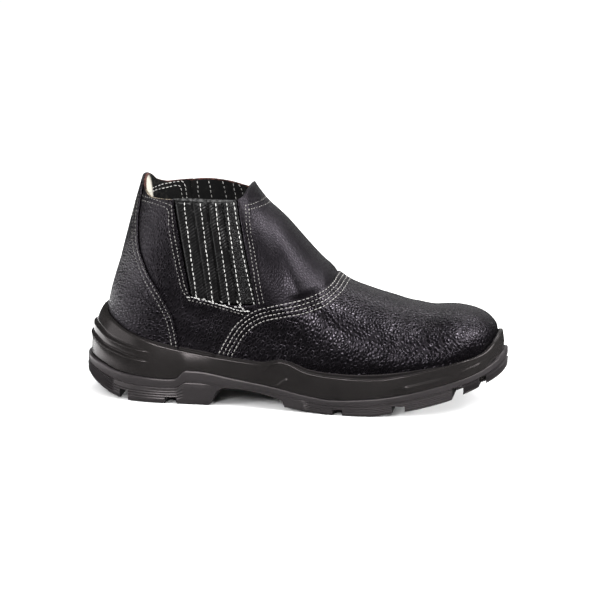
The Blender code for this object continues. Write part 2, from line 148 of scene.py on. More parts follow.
SOLE = columns("x split_z deck_z wall_out flange_out", (
    (-140, 28, 16, 10.4, 13.0),
    (-130, 24.5, 16, 8.6, 10.6),
    (-120, 20.8, 15.5, 7.6, 9.0),
    (-105, 19, 15, 7.2, 8.2),
    (-88, 18.2, 14.5, 7.0, 7.6),
    (-80.5, 18.8, 15.5, 6.8, 7.2),
    (-73, 25.2, 19, 6.6, 7.0),
    (-64, 25, 20, 6.2, 6.4),
    (-40, 21.4, 18.3, 5.2, 5.2),
    (-11, 17.4, 13.8, 4.7, 4.7),
    (18, 12.6, 9.5, 5.2, 5.4),
    (33, 11.3, 8.5, 5.6, 6.0),
    (50, 12.3, 9, 5.6, 6.0),
    (67, 14, 9.8, 5.5, 6.0),
    (94, 19.5, 14, 5.0, 5.6),
    (120, 26.7, 20.5, 4.4, 5.0),
    (134, 31.5, 23.5, 4.0, 4.6),
    (140.5, 36.5, 25.5, 3.8, 6.0),
    (146.5, 43.5, 28.5, 3.6, 7.0),
))
BOTTOM = columns("x z", (
    (-150, 20),
    (-141, 13.5),
    (-137, 10.5),
    (-133, 7.6),
    (-128, 4.4),
    (-122, 1.8),
    (-116, 0.3),
    (-112, 0),
    (-50, 0),
    (-1, 2.4),
    (10, 1.2),
    (28, 0),
    (60, 0),
    (72, 2.1),
    (86, 4.5),
    (101, 7.8),
    (115, 12),
    (124, 15.8),
    (134, 19.5),
    (143, 24),
    (150, 28.5),
))
ARCH = columns("x z", (
    (-57, 0),
    (-55, 1.5),
    (-50.6, 11.5),
    (-46, 13.7),
    (-34, 13.6),
    (-20, 11.9),
    (-11.6, 10),
    (-3, 7.5),
    (-1, 2.4),
))
SIDE_CHANNELS = columns("x width depth", (
    (-119, 6.5, 7),
    (-84, 8.5, 5),
    (37.5, 7, 4.6),
    (80.5, 9, 5),
    (121, 7.5, 7),
    (137, 4.5, 6),
))
MIDDLE_CHANNELS = columns("x width depth", (
    (-101, 6, 5),
    (-68, 6, 5),
    (18, 7, 4),
    (58, 7, 4.5),
    (100, 7, 4.5),
))
MIDDLE_HALF = 13.0
GROOVE_WIDTH = 4.0
GROOVES = columns("start_x end_x depth", (
    (-111, -58, 5),
    (11, 60, 4),
))
COLLAR = columns("angle z", (
    (0, 158.5),
    (10, 157.5),
    (24, 151.5),
    (45, 148),
    (90, 148.8),
    (120, 148.8),
    (140, 147.8),
    (155, 149.5),
    (168, 154),
    (180, 156),
))

# Seams in side view

VAMP_SEAM = (
    (-56, 27), (-49.3, 41), (-44.9, 49.3), (-40, 57.5), (-34, 64.3), (-27.5, 69.4), (-18.8, 73.6),
    (-5.8, 77.2), (8.3, 80.1), (18.3, 83.3), (25, 87), (29, 93), (33, 118),
)
COUNTER_SEAM = (
    (-78.5, 38), (-79.9, 44.2), (-81.3, 51.5), (-83.5, 61), (-87.1, 69), (-91.3, 76.9), (-95.7, 84),
    (-100.6, 91.6), (-104.5, 99.8), (-108.3, 109.2), (-109.9, 118.7), (-110.5, 129.8), (-109.9, 141),
    (-107, 165),
)
GORE_REAR_TOP = (-82.9, 147.8)
GORE_REAR_LOW = (-71.0, 78.4)
GORE_FRONT_TOP = (-38.7, 147.4)
GORE_FRONT_LOW = (-22.8, 75.0)
GORE_SAG = 2.6


def curve(table, key, value):
    """Return a smooth curve through a table that never overshoots its rows."""
    knots = table[key]
    heights = table[value]
    spans = np.diff(knots)
    slopes = np.diff(heights) / spans
    tangents = np.zeros_like(heights)
    tangents[0] = slopes[0]
    tangents[-1] = slopes[-1]
    same_way = slopes[:-1] * slopes[1:] > 0
    before = np.where(same_way, slopes[:-1], 1.0)
    after = np.where(same_way, slopes[1:], 1.0)
    tangents[1:-1] = np.where(same_way, 2 * before * after / (before + after), 0.0)

    def value_at(position):
        position = np.clip(np.asarray(position, dtype=float), knots[0], knots[-1])
        row = np.clip(np.searchsorted(knots, position, side="right") - 1, 0, len(spans) - 1)
        share = (position - knots[row]) / spans[row]
        start = (1 + 2 * share) * (1 - share) ** 2 * heights[row]
        leave = share * (1 - share) ** 2 * spans[row] * tangents[row]
        end = share ** 2 * (3 - 2 * share) * heights[row + 1]
        arrive = share ** 2 * (share - 1) * spans[row] * tangents[row + 1]
        return start + leave + end + arrive

    return value_at


ridge_z = curve(RIDGE, "x", "z")
ridge_depth = curve(RIDGE, "x", "depth")
back_x = curve(BACK, "z", "x")
back_depth = curve(BACK, "z", "depth")
centre_y = curve(FOOT, "x", "centre")
low_half = curve(FOOT, "x", "low_half")
high_half = curve(FOOT, "x", "high_half")
feather_z = curve(FEATHER, "x", "z")
lip_z = curve(LIP, "x", "z")
split_z = curve(SOLE, "x", "split_z")
deck_z = curve(SOLE, "x", "deck_z")
wall_out = curve(SOLE, "x", "wall_out")
flange_out = curve(SOLE, "x", "flange_out")
bottom_z = curve(BOTTOM, "x", "z")
collar_z = curve(COLLAR, "angle", "z")


def blend(start, end, share):
    """Value part of the way from start to end."""
    return start + (end - start) * share


def soft_step(share):
    """Pass smoothly from 0 to 1."""
    share = np.clip(share, 0.0, 1.0)
    return share * share * (3 - 2 * share)


def half_squared(x, z):
    """Square of the half width of the skin at a place in side view, below 0 outside it."""
    top = np.clip(1 - (ridge_z(x) - z) / ridge_depth(x), 0, None)
    toe = np.clip(1 - (TOE_X - x) / TOE_ROUND, 0, None)
    back = np.clip(1 - (x - back_x(z)) / back_depth(z), 0, None)
    corner = (top ** CORNER_POWER + toe ** CORNER_POWER + back ** CORNER_POWER) ** (2 / CORNER_POWER)
    side = blend(low_half(x), high_half(x), soft_step((z - LOW_Z) / (HIGH_Z - LOW_Z)))
    return side ** 2 * (1 - corner)


def half_width(x, z):
    """Half width of the skin at a place in side view."""
    return np.sqrt(np.clip(half_squared(x, z), 0, None))


def skin_normal(x, z, side):
    """Outward direction of the skin."""
    reach = half_width(x, z) * side
    step = 0.02
    slope_x = (half_squared(x + step, z) - half_squared(x - step, z)) / (2 * step)
    slope_z = (half_squared(x, z + step) - half_squared(x, z - step)) / (2 * step)
    bend = (centre_y(x + step) - centre_y(x - step)) / (2 * step)
    normal = np.stack((-slope_x - 2 * reach * bend, 2 * reach, -slope_z), axis=-1)
    return normal / np.linalg.norm(normal, axis=-1, keepdims=True)


def skin(x, z, side, offset):
    """Points standing a given distance off the skin, outer side -1 and inner side +1."""
    x, z, side, offset = np.broadcast_arrays(x, z, side, offset)
    base = np.stack((x, centre_y(x) + half_width(x, z) * side, z), axis=-1)
    return base + skin_normal(x, z, side) * offset[..., None]


def outline_z(x):
    """Height of the top outline in side view, with the toe rounded off."""
    toe = np.clip(1 - (TOE_X - x) / TOE_ROUND, 0, 1)
    return ridge_z(x) - ridge_depth(x) * (1 - (1 - toe ** CORNER_POWER) ** (1 / CORNER_POWER))


def toe_front_x(z):
    """Foremost place of the skin at a height on the toe."""
    top = np.clip(1 - (ridge_z(TOE_X) - z) / ridge_depth(TOE_X), 0, 1)
    return TOE_X - TOE_ROUND * (1 - (1 - top ** CORNER_POWER) ** (1 / CORNER_POWER))


def nose(level):
    """Where the ring of a level meets the top line: up the toe, then back along the ridge."""
    turn = np.clip(level / TOE_SHARE, 0, 1) * math.pi / 2
    size = (np.cos(turn) ** CORNER_POWER + np.sin(turn) ** CORNER_POWER) ** (1 / CORNER_POWER)
    toe_x = TOE_X - TOE_ROUND * (1 - np.cos(turn) / size)
    toe_z = ridge_z(toe_x) - ridge_depth(toe_x) * (1 - np.sin(turn) / size)
    along = np.clip((level - TOE_SHARE) / (1 - TOE_SHARE), 0, None)
    ridge_x = blend(TOE_X - TOE_ROUND, COLLAR_FRONT_X, along)
    on_toe = level < TOE_SHARE
    return np.where(on_toe, toe_x, ridge_x), np.where(on_toe, toe_z, ridge_z(ridge_x))


def ring_place(level, angle):
    """Side view place on the ring of a level, angle 0 at the back and pi at the front."""
    nose_x, nose_z = nose(level)
    heel_x = back_x(blend(feather_z(-140), collar_z(0), level))
    x = blend(heel_x, nose_x, (1 - np.cos(angle)) / 2)
    top = np.minimum(outline_z(x), collar_z(np.degrees(angle)))
    side_z = blend(feather_z(x), top, level)
    nose_side_z = blend(feather_z(nose_x), nose_z, level)
    return x, side_z + (nose_z - nose_side_z) * np.exp(-(nose_x - x) / NOSE_LENGTH)


# Places round the boot

def place_on_boot(level, turn):
    """Side view place and side; a turn is 0 at the back and runs along the outer side to pi at the front."""
    turn = (np.asarray(turn, dtype=float) + math.pi) % (2 * math.pi) - math.pi
    on_middle = np.abs(np.sin(turn)) < 1e-9
    side = np.where(on_middle, 0.0, np.where(turn > 0, OUTER, INNER))
    x, z = ring_place(np.asarray(level, dtype=float), np.abs(turn))
    return x, z, side


def smooth_line(points, spacing):
    """Smooth line through points in side view, with an even spacing."""
    points = np.array(points, dtype=float)
    ends = np.vstack((2 * points[0] - points[1], points, 2 * points[-1] - points[-2]))
    pieces = []
    for row in range(len(points) - 1):
        before, start, end, after = ends[row:row + 4]
        share = np.linspace(0, 1, 12, endpoint=False)[:, None]
        cubic = 3 * (start - end) + after - before
        square = 2 * before - 5 * start + 4 * end - after
        pieces.append(start + 0.5 * share * (end - before + share * (square + share * cubic)))
    line = np.vstack(pieces + [points[-1:]])
    length = np.append(0, np.cumsum(np.linalg.norm(np.diff(line, axis=0), axis=1)))
    even = np.linspace(0, length[-1], max(2, round(length[-1] / spacing) + 1))
    return np.column_stack([np.interp(even, length, column) for column in line.T])


def beside(line, x, z):
    """Distance from a line in side view, positive on its left hand."""
    x, z = np.broadcast_arrays(x, z)
    nearest = np.full(x.shape, 1e9)
    signed = np.zeros(x.shape)
    for start, end in zip(line[:-1], line[1:]):
        run = end[0] - start[0]
        rise = end[1] - start[1]
        along = np.clip(((x - start[0]) * run + (z - start[1]) * rise) / (run * run + rise * rise), 0, 1)
        gap_x = x - start[0] - along * run
        gap_z = z - start[1] - along * rise
        distance = np.hypot(gap_x, gap_z)
        closer = distance < nearest
        nearest = np.where(closer, distance, nearest)
        signed = np.where(closer, np.sign(run * gap_z - rise * gap_x) * distance, signed)
    return signed


def offset_line(line, distance):
    """The same line in side view moved to its left hand."""
    along = np.gradient(line, axis=0)
    along /= np.linalg.norm(along, axis=1, keepdims=True)
    return line + np.column_stack((-along[:, 1], along[:, 0])) * distance


def soft_lines(rows, x, z):
    """Sum of soft troughs and ridges along straight strokes in side view, with a width on either hand."""
    total = np.zeros(np.broadcast(x, z).shape)
    for start_x, start_z, end_x, end_z, left, right, height in zip(*rows.values()):
        distance = beside(((start_x, start_z), (end_x, end_z)), x, z)
        width = np.where(distance > 0, left, right)
        total = total + height * np.exp(-(distance / width) ** 2)
    return total


def gore_place(across, up):
    """Side view place on the elastic panel, across from the rear and up from its foot."""
    x_low = blend(GORE_REAR_LOW[0], GORE_FRONT_LOW[0], across)
    z_low = blend(GORE_REAR_LOW[1], GORE_FRONT_LOW[1], across) - GORE_SAG * np.sin(across * math.pi)
    x_top = blend(GORE_REAR_TOP[0], GORE_FRONT_TOP[0], across)
    z_top = blend(GORE_REAR_TOP[1], GORE_FRONT_TOP[1], across)
    return blend(x_low, x_top, up), blend(z_low, z_top, up)


def ahead_of(low, top, x, z):
    """Distance in front of the straight line through two places in side view."""
    run = top[0] - low[0]
    rise = top[1] - low[1]
    return ((x - low[0]) * rise - (z - low[1]) * run) / math.hypot(run, rise)


def in_window(x, z):
    """Distance inside the window of the elastic, below 0 outside it."""
    rear = ahead_of(GORE_REAR_LOW, GORE_REAR_TOP, x, z)
    front = -ahead_of(GORE_FRONT_LOW, GORE_FRONT_TOP, x, z)
    across = np.clip((x - GORE_REAR_LOW[0]) / (GORE_FRONT_LOW[0] - GORE_REAR_LOW[0]), 0, 1)
    foot = z - gore_place(across, 0.0)[1]
    return np.minimum(np.minimum(rear, front), foot)


VAMP_LINE = smooth_line(VAMP_SEAM, 2.0)
COUNTER_LINE = smooth_line(COUNTER_SEAM, 2.0)


# Panels of leather trimmed from one grid round the boot

def snap(level, turn, region, target):
    """Move places round the boot to where the distance from a region's edge has a given value."""
    step = 1e-3

    def distance(at_level, at_turn):
        return region(at_level, *place_on_boot(at_level, at_turn))

    def point(at_level, at_turn):
        return skin(*place_on_boot(at_level, at_turn), 0.0)

    for _ in range(10):
        tall = np.linalg.norm(point(level + step, turn) - point(level - step, turn), axis=-1) / (2 * step)
        wide = np.linalg.norm(point(level, turn + step) - point(level, turn - step), axis=-1) / (2 * step)
        tall = np.clip(tall, 20, None)
        wide = np.clip(wide, 20, None)
        rise = (distance(level + step, turn) - distance(level - step, turn)) / (2 * step * tall)
        run = (distance(level, turn + step) - distance(level, turn - step)) / (2 * step * wide)
        slope_squared = np.clip(rise ** 2 + run ** 2, 0.05, None)
        missing = np.clip(target - distance(level, turn), -1.5, 1.5) / slope_squared
        level = level + missing * rise / tall
        turn = turn + missing * run / wide
    return level, turn


def panel_mesh(name, levels, turns, closed, region, seam, height, low, edge_steps, looks):
    """Closed panel on the boot, cut to a region, with a worked edge.

    seam gives the distance from the sewn edge, kept for the material. height gives how far the
    outer face stands off the skin and low the inner face. Each edge step is an inset from the
    region's edge and a share of the thickness. looks are the materials of the outer face, the
    edge and the inner face.
    """
    level, turn = (grid.ravel() for grid in np.meshgrid(levels, turns, indexing="ij"))
    corner = np.arange(len(level)).reshape(len(levels), len(turns))
    after = np.roll(corner, -1, axis=1)
    width = len(turns) if closed else len(turns) - 1
    quads = np.stack((corner[:-1], after[:-1], after[1:], corner[1:]), axis=-1)[:, :width].reshape(-1, 4)
    distance = region(level, *place_on_boot(level, turn))
    quads = quads[distance[quads].mean(axis=1) > 0]
    used, quads = np.unique(quads, return_inverse=True)
    quads = quads.reshape(-1, 4)
    at_start = used < len(turns)
    level = level[used]
    turn = turn[used]
    count = len(used)

    edges = np.vstack([quads[:, (side, (side + 1) % 4)] for side in range(4)])
    open_edge = ~np.isin(edges[:, 0] * count + edges[:, 1], edges[:, 1] * count + edges[:, 0])
    edges = edges[open_edge]
    rim = np.unique(edges)
    moving = rim[~at_start[rim]]
    rim_places = []
    for inset, share in edge_steps:
        level[moving], turn[moving] = snap(level[moving], turn[moving], region, inset)
        rim_places.append((level.copy(), turn.copy(), share))

    first_level, first_turn, _ = rim_places[0]
    x, z, side = place_on_boot(first_level, first_turn)
    distance = region(first_level, x, z, side)
    points = [skin(x, z, side, height(x, z, side, distance))]
    seams = [seam(x, z)]
    for step_level, step_turn, share in rim_places[1:-1]:
        x, z, side = place_on_boot(step_level[rim], step_turn[rim])
        inset = region(step_level[rim], x, z, side)
        points.append(skin(x, z, side, blend(low, height(x, z, side, inset), share)))
        seams.append(seam(x, z))
    last_level, last_turn, _ = rim_places[-1]
    x, z, side = place_on_boot(last_level, last_turn)
    points.append(skin(x, z, side, low))
    seams.append(seam(x, z))

    slot = np.zeros(count, dtype=int)
    slot[rim] = np.arange(len(rim))
    inner_start = count + (len(rim_places) - 2) * len(rim)
    loops = [edges]
    for step in range(len(rim_places) - 2):
        loops.append(count + step * len(rim) + slot[edges])
    loops.append(inner_start + edges)
    edge_faces = []
    for near, far in zip(loops, loops[1:]):
        edge_faces.append(np.column_stack((near[:, 1], near[:, 0], far[:, 0], far[:, 1])))
    faces = np.vstack([quads] + edge_faces + [inner_start + quads[:, ::-1]])
    which = np.repeat((0, 1, 2), (len(quads), len(edges) * len(edge_faces), len(quads)))
    piece = add_piece(name, np.vstack(points), faces, looks, which)
    add_attribute(piece, "edge", np.concatenate(seams))
    return piece


def add_piece(name, points, faces, looks, which=None):
    """Make a smooth mesh object from points in millimetres, with a material for each face."""
    mesh = bpy.data.meshes.new(name)
    mesh.from_pydata((np.asarray(points).reshape(-1, 3) * MM).tolist(), [], [list(face) for face in faces])
    for look in looks:
        mesh.materials.append(look)
    if which is not None:
        mesh.polygons.foreach_set("material_index", np.asarray(which, dtype=np.int32))
    mesh.shade_smooth()
    piece = bpy.data.objects.new(name, mesh)
    bpy.context.scene.collection.objects.link(piece)
    return piece


def add_attribute(piece, name, values):
    """Keep one number for each point of a piece, for its material to read."""
    attribute = piece.data.attributes.new(name, "FLOAT", "POINT")
    attribute.data.foreach_set("value", np.asarray(values, dtype=np.float32))


def hand_over(piece, slot, *nodes):
    """Fix a finished piece to the boot, in place of its solids."""
    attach(piece, "root")
    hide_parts(*nodes)


# Materials

def add_node(tree, kind, inputs=None, **settings):
    """Add a node, set its options, and set or link its inputs."""
    made = tree.nodes.new(kind)
    for key, value in settings.items():
        setattr(made, key, value)
    for key, value in (inputs or {}).items():
        if isinstance(value, bpy.types.NodeSocket):
            tree.links.new(value, made.inputs[key])
        else:
            made.inputs[key].default_value = value
    return made


def start_material(name, stretch=(1.0, 1.0, 1.0), turn=(0.0, 0.0, 0.0)):
    """New material with its tree, its shader and a place on the boot to lay patterns by."""
    made = bpy.data.materials.new(name)
    made.use_nodes = True
    tree = made.node_tree
    shader = tree.nodes["Principled BSDF"]
    coordinate = add_node(tree, "ShaderNodeTexCoord")
    mapping = add_node(
        tree, "ShaderNodeMapping",
        {"Vector": coordinate.outputs["Object"], "Scale": stretch, "Rotation": turn}, vector_type="TEXTURE",
    )
    return made, tree, shader, mapping.outputs["Vector"]


def math_node(tree, operation, *values):
    """Result of a sum on numbers or sockets."""
    made = add_node(tree, "ShaderNodeMath", dict(enumerate(values)), operation=operation)
    return made.outputs[0]


def in_range(tree, value, low, high, to_low=0.0, to_high=1.0):
    """Smooth passage of a value from one range into another."""
    inputs = {"Value": value, "From Min": low, "From Max": high, "To Min": to_low, "To Max": to_high}
    return add_node(tree, "ShaderNodeMapRange", inputs, interpolation_type="SMOOTHSTEP").outputs["Result"]


def paint(tree, shader, factor, low, high):
    """Give a shader a colour that goes from one colour to another with a factor."""
    made = add_node(tree, "ShaderNodeMix", {0: factor, 6: (*low, 1.0), 7: (*high, 1.0)}, data_type="RGBA")
    tree.links.new(made.outputs[2], shader.inputs["Base Color"])


def noise(tree, place, size, detail=2.0, roughness=0.5):
    """Soft noise whose lumps are about a given size in millimetres."""
    inputs = {"Vector": place, "Scale": 1 / (size * MM), "Detail": detail, "Roughness": roughness}
    return add_node(tree, "ShaderNodeTexNoise", inputs).outputs["Fac"]


def cells(tree, place, size, feature, randomness=1.0):
    """Distance in a pattern of cells of a size in millimetres, from their edges or their middles."""
    inputs = {"Vector": place, "Scale": 1 / (size * MM), "Randomness": randomness}
    return add_node(tree, "ShaderNodeTexVoronoi", inputs, feature=feature).outputs["Distance"]


def stored(tree, name):
    """Number kept on the points of a piece."""
    return add_node(tree, "ShaderNodeAttribute", attribute_name=name).outputs["Fac"]


def darker(colour, share):
    """A colour with only a share of its light."""
    return tuple(part * share for part in colour)


def bump(tree, shader, height, depth):
    """Raise the surface by a height between 0 and 1, at a depth in millimetres."""
    made = add_node(tree, "ShaderNodeBump", {"Height": height, "Distance": depth * MM, "Strength": 1.0})
    tree.links.new(made.outputs["Normal"], shader.inputs["Normal"])


def seam_dents(tree, first, spacing, rows):
    """Height that dips along rows of stitches at set distances from the panel's edge."""
    edge = stored(tree, "edge")
    offset = math_node(tree, "WRAP", math_node(tree, "SUBTRACT", edge, first), spacing / 2, -spacing / 2)
    dip = in_range(tree, math_node(tree, "ABSOLUTE", offset), 0.1, 1.0)
    last = first + spacing * (rows - 0.5)
    beyond = in_range(tree, edge, last - 0.2, last + 0.2)
    return math_node(tree, "MAXIMUM", dip, beyond)


def leather_material(name, colour, cell, depth, roughness, stretch, turn, dents=None, calm=None):
    """Black leather with a pebbled grain.

    cell is the size of a pebble in millimetres and depth its relief. dents are rows of stitches
    counted from the seam. calm gives two heights and the share of the grain left at the second.
    The colour is painted darker down each pebble into the valleys between pebbles: painted shade.
    """
    made, tree, shader, place = start_material(name, stretch, turn)
    shifted = add_node(
        tree, "ShaderNodeTexNoise", {"Vector": place, "Scale": 0.45 / (cell * MM), "Detail": 2.0})
    warped = add_node(
        tree, "ShaderNodeVectorMath",
        {0: shifted.outputs["Color"], 1: (cell * MM * 0.35,) * 3, 2: place},
        operation="MULTIPLY_ADD",
    ).outputs[0]
    from_edge = cells(tree, warped, cell, "DISTANCE_TO_EDGE", 0.9)
    from_middle = cells(tree, warped, cell, "F1", 0.9)
    falling = math_node(tree, "MULTIPLY", from_middle, from_middle)
    dome = math_node(tree, "MULTIPLY_ADD", falling, -1.3, 1.0)
    walls = math_node(tree, "POWER", in_range(tree, from_edge, 0.0, 0.22), 0.5)
    pebble = math_node(tree, "MULTIPLY", dome, walls)
    pores = noise(tree, place, cell * 0.3, 2.0, 0.5)
    broad = noise(tree, place, 22.0)
    patches = noise(tree, place, cell * 5.0)
    grain = math_node(tree, "MULTIPLY", pebble, in_range(tree, patches, 0.3, 0.7, 0.85, 1.0))
    height = math_node(tree, "MULTIPLY_ADD", pores, 0.1, grain)
    if calm is not None:
        height = math_node(tree, "MULTIPLY", height, calm_share(tree, *calm))
    if dents is not None:
        dip = seam_dents(tree, *dents)
        height = math_node(tree, "MULTIPLY_ADD", dip, 0.5, math_node(tree, "MULTIPLY", height, dip))
    bump(tree, shader, height, depth)
    # Painted shade: the base colour darkens from each pebble's top down into the valleys of the grain.
    tone = math_node(tree, "MULTIPLY", pebble, in_range(tree, broad, 0.25, 0.75, 0.7, 1.0))
    paint(tree, shader, tone, darker(colour, 0.2), colour)
    rough = in_range(tree, grain, 0.1, 0.8, roughness + 0.15, roughness - 0.03)
    tree.links.new(math_node(tree, "MULTIPLY_ADD", broad, 0.06, rough), shader.inputs["Roughness"])
    shader.inputs["Specular Tint"].default_value = (0.96, 0.86, 1.0, 1.0)
    return made


def calm_share(tree, start, end, left):
    """Share of the grain along the height of the boot: all of it up to start, less beyond end."""
    coordinate = add_node(tree, "ShaderNodeTexCoord")
    height = add_node(tree, "ShaderNodeSeparateXYZ", {"Vector": coordinate.outputs["Object"]}).outputs["Z"]
    return in_range(tree, height, start * MM, end * MM, 1.0, left)


def raw_edge_material(name, colour):
    """Cut edge of leather, fibrous and uneven in tone."""
    made, tree, shader, place = start_material(name)
    fibres = noise(tree, place, 2.4, 4.0, 0.7)
    paint(tree, shader, in_range(tree, fibres, 0.4, 0.62), darker(colour, 0.06), colour)
    shader.inputs["Roughness"].default_value = 0.9
    bump(tree, shader, fibres, 0.3)
    return made


def lining_material(name, dark, pale):
    """Textile lining, pale round the heel and dark along the sides."""
    made, tree, shader, place = start_material(name)
    weave = cells(tree, place, 0.8, "F1", 0.35)
    tone = math_node(tree, "SUBTRACT", stored(tree, "tone"), 0.15)
    frayed = math_node(tree, "MULTIPLY_ADD", noise(tree, place, 3.0), 0.3, tone)
    woven = in_range(tree, weave, 0.2, 0.9, 1.0, 0.7)
    shade = math_node(tree, "MULTIPLY", in_range(tree, frayed, 0.0, 1.0), woven)
    paint(tree, shader, shade, dark, pale)
    shader.inputs["Roughness"].default_value = 0.95
    bump(tree, shader, weave, 0.25)
    return made


def pleat_material(name, colour):
    """Covered elastic: fine slanting cords, and grained leather on the front pleat."""
    made, tree, shader, place = start_material(name, turn=(0.0, math.radians(-38), 0.0))
    cords = add_node(
        tree, "ShaderNodeTexWave", {"Vector": place, "Scale": 0.16 / MM, "Distortion": 1.0, "Detail": 1.0},
        wave_type="BANDS", bands_direction="Z",
    ).outputs["Fac"]
    grain = in_range(tree, cells(tree, place, 2.0, "DISTANCE_TO_EDGE"), 0.0, 0.3, 0.0, 1.6)
    front = stored(tree, "front")
    broken = in_range(tree, noise(tree, place, 7.0), 0.35, 0.65, 0.25, 0.8)
    shown = math_node(tree, "MULTIPLY", broken, in_range(tree, front, 0.0, 1.0, 1.0, 0.1))
    cord_part = math_node(tree, "MULTIPLY", cords, shown)
    height = math_node(tree, "MULTIPLY_ADD", grain, front, cord_part)
    bump(tree, shader, height, 0.26)
    # Painted shade: the colour follows the height, darker between the cords and in the valleys of the front
    # pleat's grain.
    paint(tree, shader, height, darker(colour, 0.2), colour)
    shader.inputs["Roughness"].default_value = 0.38
    return made


def sole_material(name, colour, roughness):
    """Moulded polyurethane: even, faintly mottled, with a fine moulded skin."""
    made, tree, shader, place = start_material(name)
    mottle = noise(tree, place, 14.0, 1.0)
    skin_grain = noise(tree, place, 0.5, 2.0)
    # Rings marked dark are painted nearly black: painted shade on the strip under the lip and inside the cup.
    dark = stored(tree, "dark")
    even = in_range(tree, mottle, 0.2, 0.8, 0.85, 1.0)
    tone = math_node(tree, "MULTIPLY", even, math_node(tree, "SUBTRACT", 1.0, dark))
    paint(tree, shader, tone, darker(colour, 0.12), colour)
    scuffed = math_node(tree, "MULTIPLY_ADD", mottle, 0.05, math_node(tree, "MULTIPLY", dark, 0.3))
    tree.links.new(math_node(tree, "ADD", scuffed, roughness - 0.03), shader.inputs["Roughness"])
    shader.inputs["Specular Tint"].default_value = (1.0, 0.91, 0.92, 1.0)
    bump(tree, shader, skin_grain, 0.03)
    return made


def thread_material(name, colour):
    """Twisted sewing thread."""
    made, tree, shader, place = start_material(name, turn=(0.3, 0.6, 0.2))
    twist = add_node(
        tree, "ShaderNodeTexWave", {"Vector": place, "Scale": 0.7 / MM, "Distortion": 2.0}).outputs["Fac"]
    worn = noise(tree, place, 6.0)
    tone = math_node(tree, "MULTIPLY_ADD", twist, 0.35, in_range(tree, worn, 0.3, 0.7, 0.3, 0.65))
    paint(tree, shader, tone, darker(colour, 0.5), colour)
    shader.inputs["Roughness"].default_value = 0.75
    bump(tree, shader, twist, 0.08)
    return made


def sock_material(name, colour):
    """Knitted insole sock."""
    made, tree, shader, place = start_material(name)
    knit = cells(tree, place, 1.2, "F1", 0.2)
    loops = in_range(tree, knit, 0.1, 0.8, 1.0, 0.5)
    uneven = in_range(tree, noise(tree, place, 12.0), 0.2, 0.8, 0.7, 1.0)
    tone = math_node(tree, "MULTIPLY", loops, uneven)
    paint(tree, shader, tone, darker(colour, 0.3), colour)
    shader.inputs["Roughness"].default_value = 0.95
    bump(tree, shader, knit, 0.3)
    return made


# Leather panels

UPPER_TURNS = np.linspace(0, 2 * math.pi, 400, endpoint=False)
UPPER_LEVELS = np.linspace(0, 1.03, 100)
VAMP_TURNS = np.linspace(0.9, 2 * math.pi - 0.9, 440)
VAMP_LEVELS = np.linspace(0.02, 0.78, 92)
COUNTER_TURNS = np.linspace(-1.5, 1.5, 230)
COUNTER_LEVELS = np.linspace(0.05, 1.03, 96)
UPPER_EDGE = ((0.35, 1), (0.08, 0.88), (0, 0.7), (0, 0.3), (0.08, 0.12), (0.35, 0))
OVERLAY_EDGE = ((0.45, 1), (0.12, 0.84), (0, 0.55), (0, 0))
WALL_HEIGHT = 120
TUCK = 5
FOLD_WIDTH = 7.5
FOLD_HEIGHT = 0.3
LONG_WAVE = 0.05
SHORT_WAVE = 0.02
PULL_IN = 0.9
PALE_LINING_Z = 96
PALE_LINING_X = -108.2
GREY_LINING_X = -99.5
RAW_EDGE_Z = 140
RAW_EDGE_FRONT_X = -45
BROWN_EDGE_X = -106

UPPER_CREASES = columns("start_x start_z end_x end_z left right height", (
    (-13, 138, 10, 76, 16.0, 5.5, 2.0),
    (-96, 132, -88, 100, 9.0, 9.0, -0.5),
    (-90, 78, -62, 62, 7.0, 7.0, -0.5),
    (-74, 60, -50, 52, 6.0, 6.0, 0.4),
))
VAMP_CREASES = columns("start_x start_z end_x end_z left right height", (
    (96, 66, 90, 50, 8.0, 8.0, -0.9),
    (112, 62, 120, 50, 9.0, 9.0, 0.5),
    (30, 66, 44, 52, 9.0, 9.0, 0.4),
    (54, 68, 50, 50, 8.0, 8.0, -0.3),
    (66, 66, 70, 48, 9.0, 9.0, 0.2),
    (-22, 58, 10, 48, 8.0, 8.0, -0.4),
))
COUNTER_CREASES = columns("start_x start_z end_x end_z left right height", (
    (-122, 96, -108, 80, 8.0, 8.0, -0.4),
    (-126, 72, -104, 60, 9.0, 9.0, 0.4),
))

# Places of the materials in the list of the upper

LEATHER = 0
NEAR_EDGE = 1
INSTEP = 3
FAR_EDGE = 4


def waves(x, z, side):
    """Slight unevenness of soft leather, running on across the middle of the boot."""
    phase = side * soft_step(half_width(x, z) / 25)
    first = np.sin(x / 9.0 + z / 13.0 + phase)
    second = np.sin(x / 5.3 - z / 7.7 + 1.3 * phase)
    return LONG_WAVE * first + SHORT_WAVE * second


def upper_region(level, x, z, side):
    """Distance inside the wall of the upper, whose windows hold the elastic."""
    return np.minimum(-in_window(x, z), (1 - level) * WALL_HEIGHT)


def upper_height(x, z, side, distance):
    """Relief of the quarters and the instep panel, with folded edges along the elastic."""
    showing = soft_step(beside(VAMP_LINE, x, z) / 4) * soft_step(-beside(COUNTER_LINE, x, z) / 4)
    folded = FOLD_HEIGHT * soft_step((FOLD_WIDTH + in_window(x, z)) / 1.5)
    return (soft_lines(UPPER_CREASES, x, z) + waves(x, z, side)) * showing + folded * showing


def vamp_region(level, x, z, side):
    """Distance inside the vamp, from its seam and from a line hidden behind the lip."""
    return np.minimum(-beside(VAMP_LINE, x, z), z - lip_z(x) + TUCK)


def counter_region(level, x, z, side):
    """Distance inside the heel counter."""
    inside = np.minimum(beside(COUNTER_LINE, x, z), z - lip_z(x) + TUCK)
    return np.minimum(inside, (1 - level) * WALL_HEIGHT)


